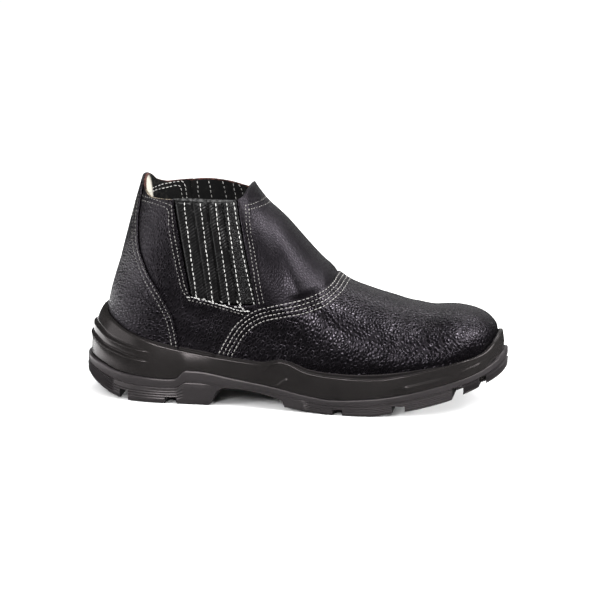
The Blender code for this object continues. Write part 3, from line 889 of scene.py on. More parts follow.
def overlay_height(creases, thickness):
    """Outer face of an overlay: its thickness, its creases and the pull-in just above the lip."""
    def height(x, z, side, distance):
        near_edge = soft_step(distance / 6)
        pulled_in = -PULL_IN * np.exp(-((z - lip_z(x)) / 3.5) ** 2) * soft_step((x + 5) / 20)
        return thickness + (soft_lines(creases, x, z) + waves(x, z, side)) * near_edge + pulled_in
    return height


def lining_tone(points):
    """How pale the lining is: cotton behind the heel, grey beside it, black elsewhere."""
    x = points[:, 0]
    z = points[:, 2]
    high = soft_step((z - PALE_LINING_Z) / 14)
    heel = soft_step((PALE_LINING_X - x) / 1.2)
    beside_heel = soft_step((GREY_LINING_X - x) / 1.2)
    return (0.03 * beside_heel + 0.97 * heel) * high


def sort_upper_faces(piece):
    """Keep raw edges to the rear of the collar, pale and brown, and give the instep its smoother leather."""
    faces = piece.data.polygons
    which = np.empty(len(faces), dtype=np.int32)
    centres = np.empty(3 * len(faces))
    faces.foreach_get("material_index", which)
    faces.foreach_get("center", centres)
    x, y, z = centres.reshape(-1, 3).T / MM
    at_collar = (z > RAW_EDGE_Z) & (in_window(x, z) < -1) & (x < RAW_EDGE_FRONT_X)
    which[(which == NEAR_EDGE) & ~at_collar] = LEATHER
    which[(which == NEAR_EDGE) & ((y > centre_y(x)) | (x < BROWN_EDGE_X))] = FAR_EDGE
    at_instep = ahead_of(GORE_FRONT_LOW, GORE_FRONT_TOP, x, z) > 0
    which[(which == LEATHER) & at_instep] = INSTEP
    faces.foreach_set("material_index", which)


def points_of(piece):
    """Points of a mesh in millimetres."""
    flat = np.empty(len(piece.data.vertices) * 3)
    piece.data.vertices.foreach_get("co", flat)
    return flat.reshape(-1, 3) / MM


# Moulded sole

EDGE_DROP = columns("x drop round", (
    (-140, -1.5, 2.4),
    (-128, -1.5, 2.4),
    (-115, -0.8, 2.2),
    (-100, 0.5, 1.8),
    (-88, 1.5, 1.2),
    (-60, 1.8, 1.0),
    (-40, 1.4, 1.0),
    (-18, 0.9, 0.9),
    (-3, 1.0, 0.9),
    (10.5, 2.3, 0.8),
    (25, 2.4, 0.8),
    (43, 2.8, 0.8),
    (67, 3.6, 0.8),
    (81, 2.8, 0.8),
    (94, 1.8, 0.8),
    (108, 0.4, 0.8),
    (120, -1.0, 0.9),
    (145, -1.2, 1.0),
))
edge_drop = curve(EDGE_DROP, "x", "drop")
edge_round = curve(EDGE_DROP, "x", "round")

LIP_OUT = 4.2
PLAN_RISE = 14
COUNTER_END_X = -82
VAMP_END_X = -55
GROOVE_LEDGE = 1.8
GROOVE_CUT = 0.7
CREST_STEP = 0.9
CREST_LINE = 0.5
MARK_HEIGHT = 0.8
RECESS_DEPTH = 0.7
RECESS_RIM = 0.5
RAISED_STEP = 0.8
RAISED_RIM = 0.5
HEEL_GROOVES = (
    ((-141, 51.5), (-136.8, 49.9), (-133.2, 47.6), (-128.5, 44.2), (-121.2, 41.7), (-111.3, 39.1), (-95, 36)),
    ((-141, 43.8), (-137.0, 42.3), (-133.4, 39.7), (-128.7, 36.8), (-120.8, 34.5), (-113.1, 32.4), (-95, 29)),
)
CREST = ((-3.2, 36.5), (-6.9, 34.6), (-11.3, 32.4), (-14.2, 29.3), (-17.1, 25.4), (-20.1, 20.0))
SIDE_MARK = ((0.7, 23.3), (-2.2, 21.2), (-5.1, 18.4))
RECESSES = columns("start_x end_x top_z", (
    (31.5, 39.5, 20.5),
    (75.0, 84.5, 22.5),
))
RAISED = columns("start_x end_x start_top end_top", (
    (83.5, 113.5, 22.3, 29.9),
    (118.6, 134.0, 32.2, 37.8),
))
SOCK_EDGE = ((0.05, -2.8), (2.6, -2.8), (3.6, -3.2), (4.0, -4.2))
SOLE_STEPS = 440
CUP_ROWS = 54
LIP_ROWS = 6
CUT_EDGE_ANGLE = 38


def leather_out(x):
    """How far the leather behind the lip stands off the skin."""
    counter_part = 1 - soft_step((x - COUNTER_END_X) / 3)
    vamp_part = soft_step((x - VAMP_END_X) / 3)
    return 0.1 + 1.5 * np.maximum(counter_part, vamp_part)


def cup_plan(x):
    """Height at which the outline of the sole is taken from the last."""
    return np.maximum(split_z(x), feather_z(x) + PLAN_RISE)


def sole_ring(plan_z, height, outward):
    """Ring round the boot at the heights of plan_z, moved outward and set at a height."""
    turn = np.linspace(0, 2 * math.pi, 2 * SOLE_STEPS, endpoint=False)
    back_end = np.array(-138.0)
    front_end = np.array(142.0)
    for _ in range(20):
        back_end = (back_end + back_x(plan_z(back_end))) / 2
        front_end = (front_end + toe_front_x(plan_z(front_end))) / 2
    x = blend(back_end, front_end, (1 - np.cos(turn)) / 2)
    side = np.where(np.abs(np.sin(turn)) < 1e-9, 0.0, -np.sign(np.sin(turn)))
    place = np.stack((x, centre_y(x) + side * half_width(x, plan_z(x))), axis=-1)
    along = np.roll(place, -1, axis=0) - np.roll(place, 1, axis=0)
    along /= np.linalg.norm(along, axis=1, keepdims=True)
    out = np.stack((along[:, 1], -along[:, 0]), axis=-1)
    place = place + out * np.broadcast_to(outward(x), x.shape)[:, None]
    return np.column_stack((place, np.broadcast_to(height(x), x.shape)))


def loft_faces(rings):
    """Faces of a closed loft through whole rings, from the first cap to the last."""
    count = 2 * SOLE_STEPS
    corner = np.arange(rings * count).reshape(rings, count)
    after = np.roll(corner, -1, axis=1)
    walls = np.stack((corner[:-1], after[:-1], after[1:], corner[1:]), axis=-1).reshape(-1, 4).tolist()
    strips = []
    for place in range(SOLE_STEPS):
        face = [place, place + 1, (count - place - 1) % count, (count - place) % count]
        strips.append(list(dict.fromkeys(face)))
    top = (rings - 1) * count
    return [face[::-1] for face in strips] + walls + [[top + place for place in face] for face in strips]


def cup_relief(x, z):
    """Grooves, steps, recesses and raised panels on the side of the cup."""
    total = np.zeros(x.shape)
    at_heel = 1 - soft_step((x + 116) / 18)
    for groove in HEEL_GROOVES:
        below = -beside(smooth_line(groove, 2.0), x, z)
        ledge = GROOVE_LEDGE * soft_step((below + 0.2) / 0.7) * np.exp(-np.clip(below - 0.5, 0, None) / 4)
        cut = -GROOVE_CUT * np.exp(-((below + 0.6) / 0.6) ** 2)
        total = total + (ledge + cut) * at_heel
    crest = -beside(CREST, x, z)
    total = total + CREST_STEP * soft_step((crest + 0.3) / 0.8) * np.exp(-np.clip(crest, 0, None) / 8)
    total = total + CREST_LINE * np.exp(-(crest / 0.7) ** 2)
    total = total + MARK_HEIGHT * np.exp(-(beside(SIDE_MARK, x, z) / 0.7) ** 2)
    for start, end, top in zip(*RECESSES.values()):
        inside = np.minimum(x - start, end - x)
        total = total - RECESS_DEPTH * soft_step(inside / 0.7) * soft_step((top - z) / 3)
        total = total + RECESS_RIM * np.exp(-((x - start) / 0.8) ** 2) * soft_step((top - z) / 2)
    for start, end, start_top, end_top in zip(*RAISED.values()):
        top = blend(start_top, end_top, np.clip((x - start) / (end - start), 0, 1))
        ends = soft_step(np.minimum(x - start, end - x) / 3)
        panel = RAISED_STEP * soft_step((top - z) / 0.6) * np.exp(-np.clip(top - z, 0, None) / 5)
        total = total + (panel + RAISED_RIM * np.exp(-((z - top) / 0.45) ** 2)) * ends
    return total


def cup_rings():
    """Rings of the moulded cup and how dark each is.

    They run from its hidden foot up the side, over the lip and down inside. The rings from the strip between
    the lip and the leather inward are painted dark, as painted shade.
    """
    def edge_z(x):
        return lip_z(x) - edge_drop(x)

    def seat_z(x):
        return split_z(x) + 0.3

    def top_z(x):
        return np.maximum(lip_z(x), edge_z(x) - 0.6)

    def rim_out(x):
        return flange_out(x) - 2.3

    def strip_out(x):
        return leather_out(x) + 0.4

    def side_z(share):
        return lambda x: blend(seat_z(x), edge_z(x) - edge_round(x), share)

    def side_out(share):
        def outward(x):
            base = blend(wall_out(x), LIP_OUT, share ** 1.6)
            return base + cup_relief(x, side_z(share)(x))
        return outward

    def side_plan(share):
        return lambda x: np.maximum(side_z(share)(x), feather_z(x) + PLAN_RISE * (1 - share))

    def over_z(angle):
        return lambda x: edge_z(x) + edge_round(x) * (math.sin(angle) - 1)

    def over_out(angle):
        return lambda x: LIP_OUT + edge_round(x) * (math.cos(angle) - 1)

    rings = [
        sole_ring(cup_plan, lambda x: deck_z(x) + 0.3, rim_out),
        sole_ring(cup_plan, seat_z, rim_out),
    ]
    dark = [0.0, 0.0]
    for share in np.linspace(0, 1, CUP_ROWS):
        rings.append(sole_ring(side_plan(share), side_z(share), side_out(share)))
        dark.append(0.0)
    for angle in np.linspace(0, math.pi / 2, LIP_ROWS)[1:]:
        rings.append(sole_ring(edge_z, over_z(angle), over_out(angle)))
        dark.append(0.0)
    rings.append(sole_ring(edge_z, lambda x: edge_z(x) - 0.3, lambda x: strip_out(x) + 0.25))
    rings.append(sole_ring(edge_z, lambda x: edge_z(x) - 0.2, lambda x: strip_out(x) + 0.1))
    for share in (0.2, 0.6, 0.95):
        rings.append(sole_ring(top_z, lambda x, share=share: blend(edge_z(x), top_z(x), share), strip_out))
    rings.append(sole_ring(top_z, top_z, lambda x: leather_out(x) + 0.12))
    rings.append(sole_ring(lip_z, lambda x: lip_z(x) - 6.5, lambda x: leather_out(x) + 0.12))
    rings.append(sole_ring(lip_z, lambda x: lip_z(x) - 7.0, lambda x: np.full_like(x, 0.3)))
    rings.append(sole_ring(feather_z, lambda x: feather_z(x) - 0.3, lambda x: np.full_like(x, 0.3)))
    # Painted shade: every ring from the strip hugging the leather inward is marked dark.
    dark += [1.0] * (len(rings) - len(dark))
    return rings, dark


TREAD_SIDE = columns("share out ribbed", (
    (0.0, -2.4, 0),
    (0.03, -1.5, 0),
    (0.08, -1.0, 0),
    (0.15, -0.8, 0),
    (0.19, -0.75, 1),
    (0.23, -0.7, -1),
    (0.29, -0.65, 1),
    (0.33, -0.6, -1),
    (0.39, -0.55, 1),
    (0.43, -0.5, -1),
    (0.49, -0.45, 1),
    (0.53, -0.4, -1),
    (0.60, -0.4, 0),
    (0.64, -0.5, -1.6),
    (0.68, 0.0, 0),
    (0.76, 0.05, 0),
    (0.86, 0.05, 0),
    (0.94, 0.0, 0),
    (0.98, -0.2, 0),
    (1.0, -0.6, 0),
))
RIB_HEIGHT = 0.2
BACK_LUG_X = -124
HEEL_LUGS_X = -62
FORE_LUGS_X = 8
TOE_LUG_X = 121
CUT_LOW = -5
CUT_SIDE = 80


def tread_rings():
    """Rings of the tread layer from the floor up its ribbed side to the deck."""
    rings = []
    for share, out, ribbed in zip(*TREAD_SIDE.values()):
        def height(x, share=share):
            return blend(bottom_z(x), split_z(x), share)

        def outward(x, out=out, ribbed=ribbed):
            on_lugs = np.maximum(1 - soft_step((x - HEEL_LUGS_X) / 10), soft_step((x - FORE_LUGS_X) / 10))
            end_lugs = np.maximum(1 - soft_step((x - BACK_LUG_X) / 2), soft_step((x - TOE_LUG_X) / 2))
            return flange_out(x) + out + ribbed * RIB_HEIGHT * (on_lugs + 3 * end_lugs)

        rings.append(sole_ring(cup_plan, height, outward))
    rings.append(sole_ring(cup_plan, split_z, lambda x: flange_out(x) - 2.0))
    rings.append(sole_ring(cup_plan, deck_z, lambda x: flange_out(x) - 2.0))
    return rings


def box_cutter(name, boxes):
    """Hidden mesh of boxes to cut with."""
    mesh = bpy.data.meshes.new(name)
    form = bmesh.new()
    for low, high in boxes:
        centre = (Vector(low) + Vector(high)) / 2 * MM
        size = (Vector(high) - Vector(low)) * MM
        placed = Matrix.Translation(centre) @ Matrix.Diagonal((*size, 1.0))
        bmesh.ops.create_cube(form, size=1.0, matrix=placed)
    form.to_mesh(mesh)
    form.free()
    cutter = bpy.data.objects.new(name, mesh)
    bpy.context.scene.collection.objects.link(cutter)
    return cutter


def arch_cutter():
    """Hidden prism in the shape of the arch, right across the boot."""
    outline = [(ARCH["x"][0], -10), (ARCH["x"][-1], -10)] + list(zip(ARCH["x"], ARCH["z"]))[::-1]
    count = len(outline)
    points = [(x, y, z) for y in (-90, 90) for x, z in outline]
    faces = [list(range(count)), list(range(2 * count - 1, count - 1, -1))]
    for start in range(count):
        end = (start + 1) % count
        faces.append([end, start, count + start, count + end])
    mesh = bpy.data.meshes.new("arch cutter")
    mesh.from_pydata((np.array(points) * MM).tolist(), [], faces)
    cutter = bpy.data.objects.new("arch cutter", mesh)
    bpy.context.scene.collection.objects.link(cutter)
    return cutter


def tread_cutters():
    """Cutters for the arch, the channels between the lugs and the long grooves."""
    outer = []
    for x, width, depth in zip(*SIDE_CHANNELS.values()):
        top = float(bottom_z(x)) + depth
        outer.append(((x - width / 2, -CUT_SIDE, CUT_LOW), (x + width / 2, -MIDDLE_HALF, top)))
        outer.append(((x - width / 2, MIDDLE_HALF, CUT_LOW), (x + width / 2, CUT_SIDE, top)))
    middle = []
    for x, width, depth in zip(*MIDDLE_CHANNELS.values()):
        top = float(bottom_z(x)) + depth
        middle.append(((x - width / 2, -MIDDLE_HALF + 2, CUT_LOW), (x + width / 2, MIDDLE_HALF - 2, top)))
    grooves = []
    for start, end, depth in zip(*GROOVES.values()):
        for side in (-1, 1):
            near = side * MIDDLE_HALF - GROOVE_WIDTH / 2
            grooves.append(((start, near, CUT_LOW), (end, near + GROOVE_WIDTH, depth - 0.3)))
    return [
        arch_cutter(), box_cutter("side channels", outer),
        box_cutter("middle channels", middle), box_cutter("long grooves", grooves),
    ]


def cut_away(piece, cutters):
    """Take the cutters out of a piece for good and remove them."""
    for cutter in cutters:
        boolean = piece.modifiers.new(cutter.name, "BOOLEAN")
        boolean.operation = "DIFFERENCE"
        boolean.solver = "EXACT"
        boolean.object = cutter
    settle(piece)
    for cutter in cutters:
        bpy.data.objects.remove(cutter, do_unlink=True)


def settle(piece):
    """Turn a piece with modifiers into a plain mesh."""
    graph = bpy.context.evaluated_depsgraph_get()
    made = bpy.data.meshes.new_from_object(piece.evaluated_get(graph))
    old = piece.data
    piece.modifiers.clear()
    piece.data = made
    bpy.data.meshes.remove(old)


# Pleated elastic

PLEATS = 4
PLEAT_STEPS = 18
GORE_ROWS = 64
GORE_SIDE = 0.006
GORE_END = 0.02
GORE_FOOT = 0.003
GORE_TOP = 1.004
GORE_LINING_BACK = 0.6
LINING_RISE = 0.026
LINING_OVERLAP = 0.06
PLEAT_FOLDS = columns("low top", (
    (0.0, 0.0),
    (0.247, 0.305),
    (0.465, 0.543),
    (0.72, 0.776),
    (1.0, 1.0),
))
PLEAT_ROWS = columns("pleat low top", (
    (0, 0.40, 0.59),
    (1, 0.445, 0.57),
    (2, 0.50, 0.56),
    (3, 0.164, 0.27),
    (3, 0.868, 0.737),
))


def pleat_place(pleat, share, up):
    """Place across the panel of a share of a pleat; the folds fan out towards the collar."""
    low = PLEAT_FOLDS["low"]
    top = PLEAT_FOLDS["top"]
    start = blend(low[pleat], top[pleat], up)
    end = blend(low[pleat + 1], top[pleat + 1], up)
    return blend(start, end, share)


def pleat_height(pleat, share, up, depth, crown):
    """Height across the pleats: up from a fold, over a crown dented by stitches, down at the next fold."""
    rise = np.sqrt(np.clip(1 - (1 - np.clip(share / 0.2, 0, 1)) ** 2, 0, 1))
    fall = np.sqrt(np.clip(1 - (1 - np.clip((1 - share) / 0.08, 0, 1)) ** 2, 0, 1))
    crest = crown * (0.5 + 0.5 * np.sin(share * math.pi))
    for row, low, top in zip(*PLEAT_ROWS.values()):
        crest = crest - 0.5 * (pleat == row) * np.exp(-((share - blend(low, top, up)) / 0.07) ** 2)
    thin = np.where(share < 0.5, pleat == 1, pleat == 0)
    deep = depth * np.where(thin, 0.45, 1.0)
    return -deep + (deep + crest) * np.minimum(rise, fall)


def gore_mesh(name, side, depth, crown, inside, looks):
    """Closed pleated panel in its window."""
    share = np.append(np.tile(np.linspace(0, 1, PLEAT_STEPS, endpoint=False), PLEATS), 1.0)
    pleat = np.append(np.repeat(np.arange(PLEATS), PLEAT_STEPS), PLEATS - 1)
    if side == INNER:
        share = share[::-1]
        pleat = pleat[::-1]
    rows = []
    backs = []
    for up in np.linspace(0, 1, GORE_ROWS):
        across = blend(GORE_SIDE, 1 - GORE_SIDE, pleat_place(pleat, share, up))
        near_end = min(up / GORE_END, (1 - up) / GORE_END, 1.0)
        height = pleat_height(pleat, share, up, depth, crown)
        height = blend(-depth, height, 0.35 + 0.65 * math.sqrt(1 - (1 - near_end) ** 2))
        place = gore_place(across, blend(GORE_FOOT, GORE_TOP, up))
        top = GORE_TOP + LINING_RISE * np.sin(across * math.pi) ** 0.5
        lining_across = blend(-LINING_OVERLAP, 1 + LINING_OVERLAP, across)
        lining_place = gore_place(lining_across, blend(GORE_FOOT, top, up))
        rows.append(skin(*place, side, height))
        backs.append(skin(*lining_place, side, inside))
    rows += backs
    width = len(share)
    count = width * GORE_ROWS
    corner = np.arange(count).reshape(GORE_ROWS, width)
    outer = np.stack((corner[:-1, :-1], corner[:-1, 1:], corner[1:, 1:], corner[1:, :-1]), axis=-1)
    outer = outer.reshape(-1, 4)
    edge = np.concatenate((corner[0], corner[1:, -1], corner[-1, -2::-1], corner[-2:0:-1, 0]))
    after = np.roll(edge, -1)
    border = np.column_stack((after, edge, count + edge, count + after))
    faces = np.vstack((outer, count + outer[:, ::-1], border))
    which = np.repeat((0, 1, 0), (len(outer), len(outer), len(border)))
    rim = 2 * len(outer) + width + GORE_ROWS - 2
    which[rim:rim + width - 1] = 2
    which[2 * len(outer) - width + 1:2 * len(outer)] = 2
    piece = add_piece(name, np.vstack(rows), faces, looks, which)
    add_attribute(piece, "front", np.tile((pleat == PLEATS - 1).astype(float), 2 * GORE_ROWS))
    return piece


# Stitching

PLAIN_STITCH = {"pitch": 3.2, "length": 2.5, "width": 0.6, "height": 0.55, "wander": 0.16}
SMALL_STITCH = {"pitch": 2.7, "length": 1.8, "width": 0.65, "height": 0.5, "wander": 0.16}
BRIGHT_STITCH = {"pitch": 3.3, "length": 2.6, "width": 0.68, "height": 0.6, "wander": 0.18}
KNOT_STITCH = {"pitch": 2.6, "length": 2.6, "width": 0.7, "height": 0.7, "wander": 0.4}
VAMP_ROWS_AT = (1.0, 3.9, 6.8, 9.8)
COUNTER_ROWS_AT = (1.6, 4.6)
COUNTER_ROW_TOP = 147
EDGE_ROWS = (
    ((-113.1, 145.6), (-101.1, 147.0), (-90.4, 145.8), (-85.2, 144.6)),
    ((-111.3, 143.1), (-100.9, 143.9), (-91.1, 143.0), (-87.2, 141.5), (-86.0, 139.0)),
    (
        (-86.0, 139.0), (-85.8, 128.0), (-83.7, 114.9), (-80.9, 100.4), (-78.2, 87.9), (-76.1, 82.1),
        (-71.5, 75.6),
    ),
    ((-84.0, 143.5), (-82.5, 126.7), (-80.1, 112.2), (-77.7, 99.0), (-74.9, 86.7), (-73.2, 81.0)),
    ((-33.6, 143.5), (-31.2, 127.8), (-28.1, 114.1), (-24.8, 96.6), (-21.0, 76.5)),
    ((-31.2, 140.6), (-28.3, 124.3), (-24.4, 108.6), (-21.2, 93.2), (-17.8, 77.4)),
    ((-33.6, 143.5), (-29.3, 143.8), (-23.5, 144.6)),
    ((-31.2, 140.6), (-27.5, 141.0), (-20.5, 141.4)),
    ((-71.5, 75.6), (-60.2, 73.6), (-43.5, 69.9), (-33.0, 67.4)),
)
FOOT_ROW = ((-72.5, 78.0), (-66.0, 77.4), (-57.0, 75.2), (-43.5, 72.2), (-34.0, 69.8), (-28.5, 70.0))
FOOT_KNOTS = (
    ((-66.5, 79.5), (-65.0, 76.6)),
    ((-60.5, 77.2), (-56.5, 75.6)),
    ((-55.0, 79.0), (-54.2, 75.0)),
    ((-48.5, 75.4), (-45.0, 73.2)),
    ((-36.5, 76.5), (-33.0, 71.6), (-29.0, 70.4)),
    ((-38.0, 72.8), (-32.5, 72.0)),
)
INSIDE_ROWS = (
    ((-111.7, 145.0), (-104.2, 146.5), (-94.2, 147.0), (-89.9, 145.5), (-87.7, 134.9), (-84.0, 118.0)),
    ((-111.8, 142.6), (-103.0, 143.4), (-93.2, 143.6), (-91.0, 135.0), (-87.2, 118.0)),
    ((-80.0, 146.0), (-78.5, 135.0), (-74.0, 112.0)),
    ((-71.0, 146.5), (-69.0, 136.1), (-64.5, 112.0)),
    ((-60.2, 147.0), (-58.4, 138.2), (-54.0, 112.0)),
    ((-51.4, 146.5), (-50.5, 138.3), (-46.0, 112.0)),
    ((-46.3, 147.0), (-44.5, 141.7), (-40.0, 112.0)),
)


def along_skin(line, side, offset):
    """Row of stitches on the skin: its points and the directions out of the leather."""
    x = line[:, 0]
    z = line[:, 1]
    return skin(x, z, side, offset(x, z, side)), skin_normal(x, z, side)


def on_both_sides(line, offset):
    """The same row on the outer and the inner side."""
    return [along_skin(line, side, offset) for side in (OUTER, INNER)]


def over_the_top(line, offset):
    """Row up the outer side, across the ridge of the boot and down the inner side."""
    fine = smooth_line(line, 0.03)
    shown = (half_squared(fine[:, 0], fine[:, 1]) > 0) & (fine[:, 1] > lip_z(fine[:, 0]) - 1)
    fine = fine[shown]
    length = np.linspace(0, 1, len(fine))
    spread = 1 - np.linspace(1, 0, 240) ** 2
    near_ridge = np.column_stack([np.interp(spread, length, column) for column in fine.T])
    outer_points, outer_ways = along_skin(near_ridge, OUTER, offset)
    inner_points, inner_ways = along_skin(near_ridge[::-1], INNER, offset)
    return np.vstack((outer_points, inner_points)), np.vstack((outer_ways, inner_ways))


def stitch_tree(name, look):
    """Geometry nodes that lay one stitch after another along the rows they are given."""
    tree = bpy.data.node_groups.new(name, "GeometryNodeTree")
    tree.interface.new_socket("Geometry", in_out="INPUT", socket_type="NodeSocketGeometry")
    for socket in ("Pitch", "Length", "Width", "Height", "Wander"):
        tree.interface.new_socket(socket, in_out="INPUT", socket_type="NodeSocketFloat")
    tree.interface.new_socket("Seed", in_out="INPUT", socket_type="NodeSocketInt")
    tree.interface.new_socket("Geometry", in_out="OUTPUT", socket_type="NodeSocketGeometry")
    given = tree.nodes.new("NodeGroupInput").outputs
    rows = add_node(tree, "GeometryNodeMeshToCurve", {"Mesh": given["Geometry"]})
    even = add_node(
        tree, "GeometryNodeResampleCurve", {"Curve": rows.outputs["Curve"], "Length": given["Pitch"]},
        mode="LENGTH",
    )
    way = add_node(tree, "GeometryNodeInputNamedAttribute", {"Name": "way"}, data_type="FLOAT_VECTOR")
    tangent = tree.nodes.new("GeometryNodeInputTangent")
    wander = add_node(
        tree, "FunctionNodeRandomValue",
        {0: (-1.0, -1.0, -0.4), 1: (1.0, 1.0, 0.4), "Seed": given["Seed"]}, data_type="FLOAT_VECTOR",
    )
    shift = add_node(
        tree, "ShaderNodeVectorMath", {0: wander.outputs[0], "Scale": given["Wander"]}, operation="SCALE")
    moved = add_node(
        tree, "GeometryNodeSetPosition", {"Geometry": even.outputs["Curve"], "Offset": shift.outputs[0]})
    turned = add_node(
        tree, "FunctionNodeAxesToRotation",
        {"Primary Axis": way.outputs["Attribute"], "Secondary Axis": tangent.outputs["Tangent"]},
        primary_axis="Z", secondary_axis="X",
    )
    grown = add_node(
        tree, "FunctionNodeRandomValue", {2: 0.8, 3: 1.12, "Seed": given["Seed"]}, data_type="FLOAT")
    size = add_node(
        tree, "ShaderNodeCombineXYZ", {0: given["Length"], 1: given["Width"], 2: given["Height"]})
    scale = add_node(
        tree, "ShaderNodeVectorMath", {0: size.outputs[0], "Scale": grown.outputs[1]}, operation="SCALE")
    ball = add_node(tree, "GeometryNodeMeshUVSphere", {"Segments": 8, "Rings": 5, "Radius": 0.5})
    smooth = add_node(tree, "GeometryNodeSetShadeSmooth", {"Geometry": ball.outputs["Mesh"]})
    stitches = add_node(
        tree, "GeometryNodeInstanceOnPoints",
        {
            "Points": moved.outputs["Geometry"], "Instance": smooth.outputs["Geometry"],
            "Rotation": turned.outputs["Rotation"], "Scale": scale.outputs[0],
        },
    )
    real = add_node(tree, "GeometryNodeRealizeInstances", {"Geometry": stitches.outputs["Instances"]})
    dressed = add_node(
        tree, "GeometryNodeSetMaterial", {"Geometry": real.outputs["Geometry"], "Material": look})
    done = tree.nodes.new("NodeGroupOutput")
    tree.links.new(dressed.outputs["Geometry"], done.inputs["Geometry"])
    return tree


def sew(name, rows, look, seed, **stitch):
    """Piece of stitching along rows of points; stitch gives pitch, length, width, height and wander in mm."""
    points = np.vstack([row for row, _ in rows])
    ways = np.vstack([way for _, way in rows])
    edges = []
    start = 0
    for row, _ in rows:
        edges += [(place, place + 1) for place in range(start, start + len(row) - 1)]
        start += len(row)
    mesh = bpy.data.meshes.new(name)
    mesh.from_pydata((points * MM).tolist(), edges, [])
    attribute = mesh.attributes.new("way", "FLOAT_VECTOR", "POINT")
    attribute.data.foreach_set("vector", ways.astype(np.float32).ravel())
    piece = bpy.data.objects.new(name, mesh)
    bpy.context.scene.collection.objects.link(piece)
    modifier = piece.modifiers.new("stitches", "NODES")
    modifier.node_group = stitch_tree(name, look)
    for socket in modifier.node_group.interface.items_tree:
        if socket.name.lower() in stitch:
            modifier[socket.identifier] = stitch[socket.name.lower()] * MM
        elif socket.name == "Seed":
            modifier[socket.identifier] = seed
    settle(piece)
    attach(piece, "root")


# Stage

LIGHTS = (
    ("ceiling", (0.0, -0.6, 2.3), (0.0, -0.6, 0.0), 4.5, 4.5, 125.0, False),
    ("overhead", (0.35, 1.15, 1.5), (0.03, 0.0, 0.06), 1.5, 0.3, 6.0, True),
    ("backdrop", (0.0, 2.6, 0.95), (0.0, 0.0, 0.1), 3.2, 1.4, 6.0, True),
    ("floor fill", (2.2, -0.4, 0.75), (0.12, 0.0, 0.0), 1.0, 0.5, 130.0, False),
    ("left fill", (-1.7, -1.1, 0.7), (-0.06, 0.0, 0.02), 0.8, 0.6, 44.0, False),
    ("front", (-0.25, -1.65, 0.9), (0.03, 0.0, 0.06), 0.5, 0.5, 17.0, True),
    ("toe", (0.95, -0.3, 1.72), (0.1, 0.0, 0.05), 0.35, 0.35, 13.0, True),
    ("right", (1.55, 0.05, 1.35), (0.0, 0.0, 0.1), 0.6, 0.5, 11.5, True),
    ("rear", (-0.75, -0.33, 0.18), (-0.1, 0.0, 0.12), 0.6, 0.34, 0.85, True),
    ("heel", (-0.42, 0.05, 0.004), (-0.42, 0.05, 1.0), 0.4, 0.5, 2.0, True),
)
WORLD_LIGHT = 0.05
CAMERA_AROUND = 9.0
CAMERA_ABOVE = 13.4
CAMERA_ROLL = 0.6
CAMERA_AWAY = 2.6
CAMERA_TARGET = (0.0, 0.0, 0.075)
CAMERA_LENS = 217.6
CAMERA_SHIFT = (0.00375, -0.0117)


def camera_matrix():
    """Place and turn of the camera, looking at its target from the outer side."""
    around = math.radians(CAMERA_AROUND)
    above = math.radians(CAMERA_ABOVE)
    level = math.cos(above)
    ahead = Vector((-math.sin(around) * level, math.cos(around) * level, -math.sin(above)))
    right = ahead.cross(Vector((0, 0, 1))).normalized()
    up = right.cross(ahead)
    turned = Matrix((right, up, -ahead)).transposed() @ Matrix.Rotation(math.radians(CAMERA_ROLL), 3, "Z")
    return Matrix.Translation(Vector(CAMERA_TARGET) - ahead * CAMERA_AWAY) @ turned.to_4x4()


# Settings

class BootSizes(bpy.types.PropertyGroup):
    """Sizes that may be changed before the pieces are made."""
    wall: bpy.props.FloatProperty(
        name="Wall", description="Thickness of the upper with its lining", default=0.002, unit="LENGTH")
    overlay: bpy.props.FloatProperty(
        name="Overlay", description="How far vamp and counter stand out", default=0.0016, unit="LENGTH")
    overlay_gap: bpy.props.FloatProperty(
        name="Overlay gap", description="Clear space under vamp and counter", default=0.0003, unit="LENGTH")
    vamp_grain: bpy.props.FloatProperty(
        name="Vamp grain", description="Size of a pebble on the vamp", default=0.0021, unit="LENGTH")
    upper_grain: bpy.props.FloatProperty(
        name="Upper grain", description="Size of a pebble on the quarters", default=0.0016, unit="LENGTH")
    counter_grain: bpy.props.FloatProperty(
        name="Counter grain", description="Size of a pebble on the counter", default=0.0018, unit="LENGTH")
    pleat_depth: bpy.props.FloatProperty(
        name="Pleat depth", description="Depth of the folds in the elastic", default=0.0025, unit="LENGTH")
    pleat_crown: bpy.props.FloatProperty(
        name="Pleat crown", description="How far the pleats swell", default=0.0006, unit="LENGTH")


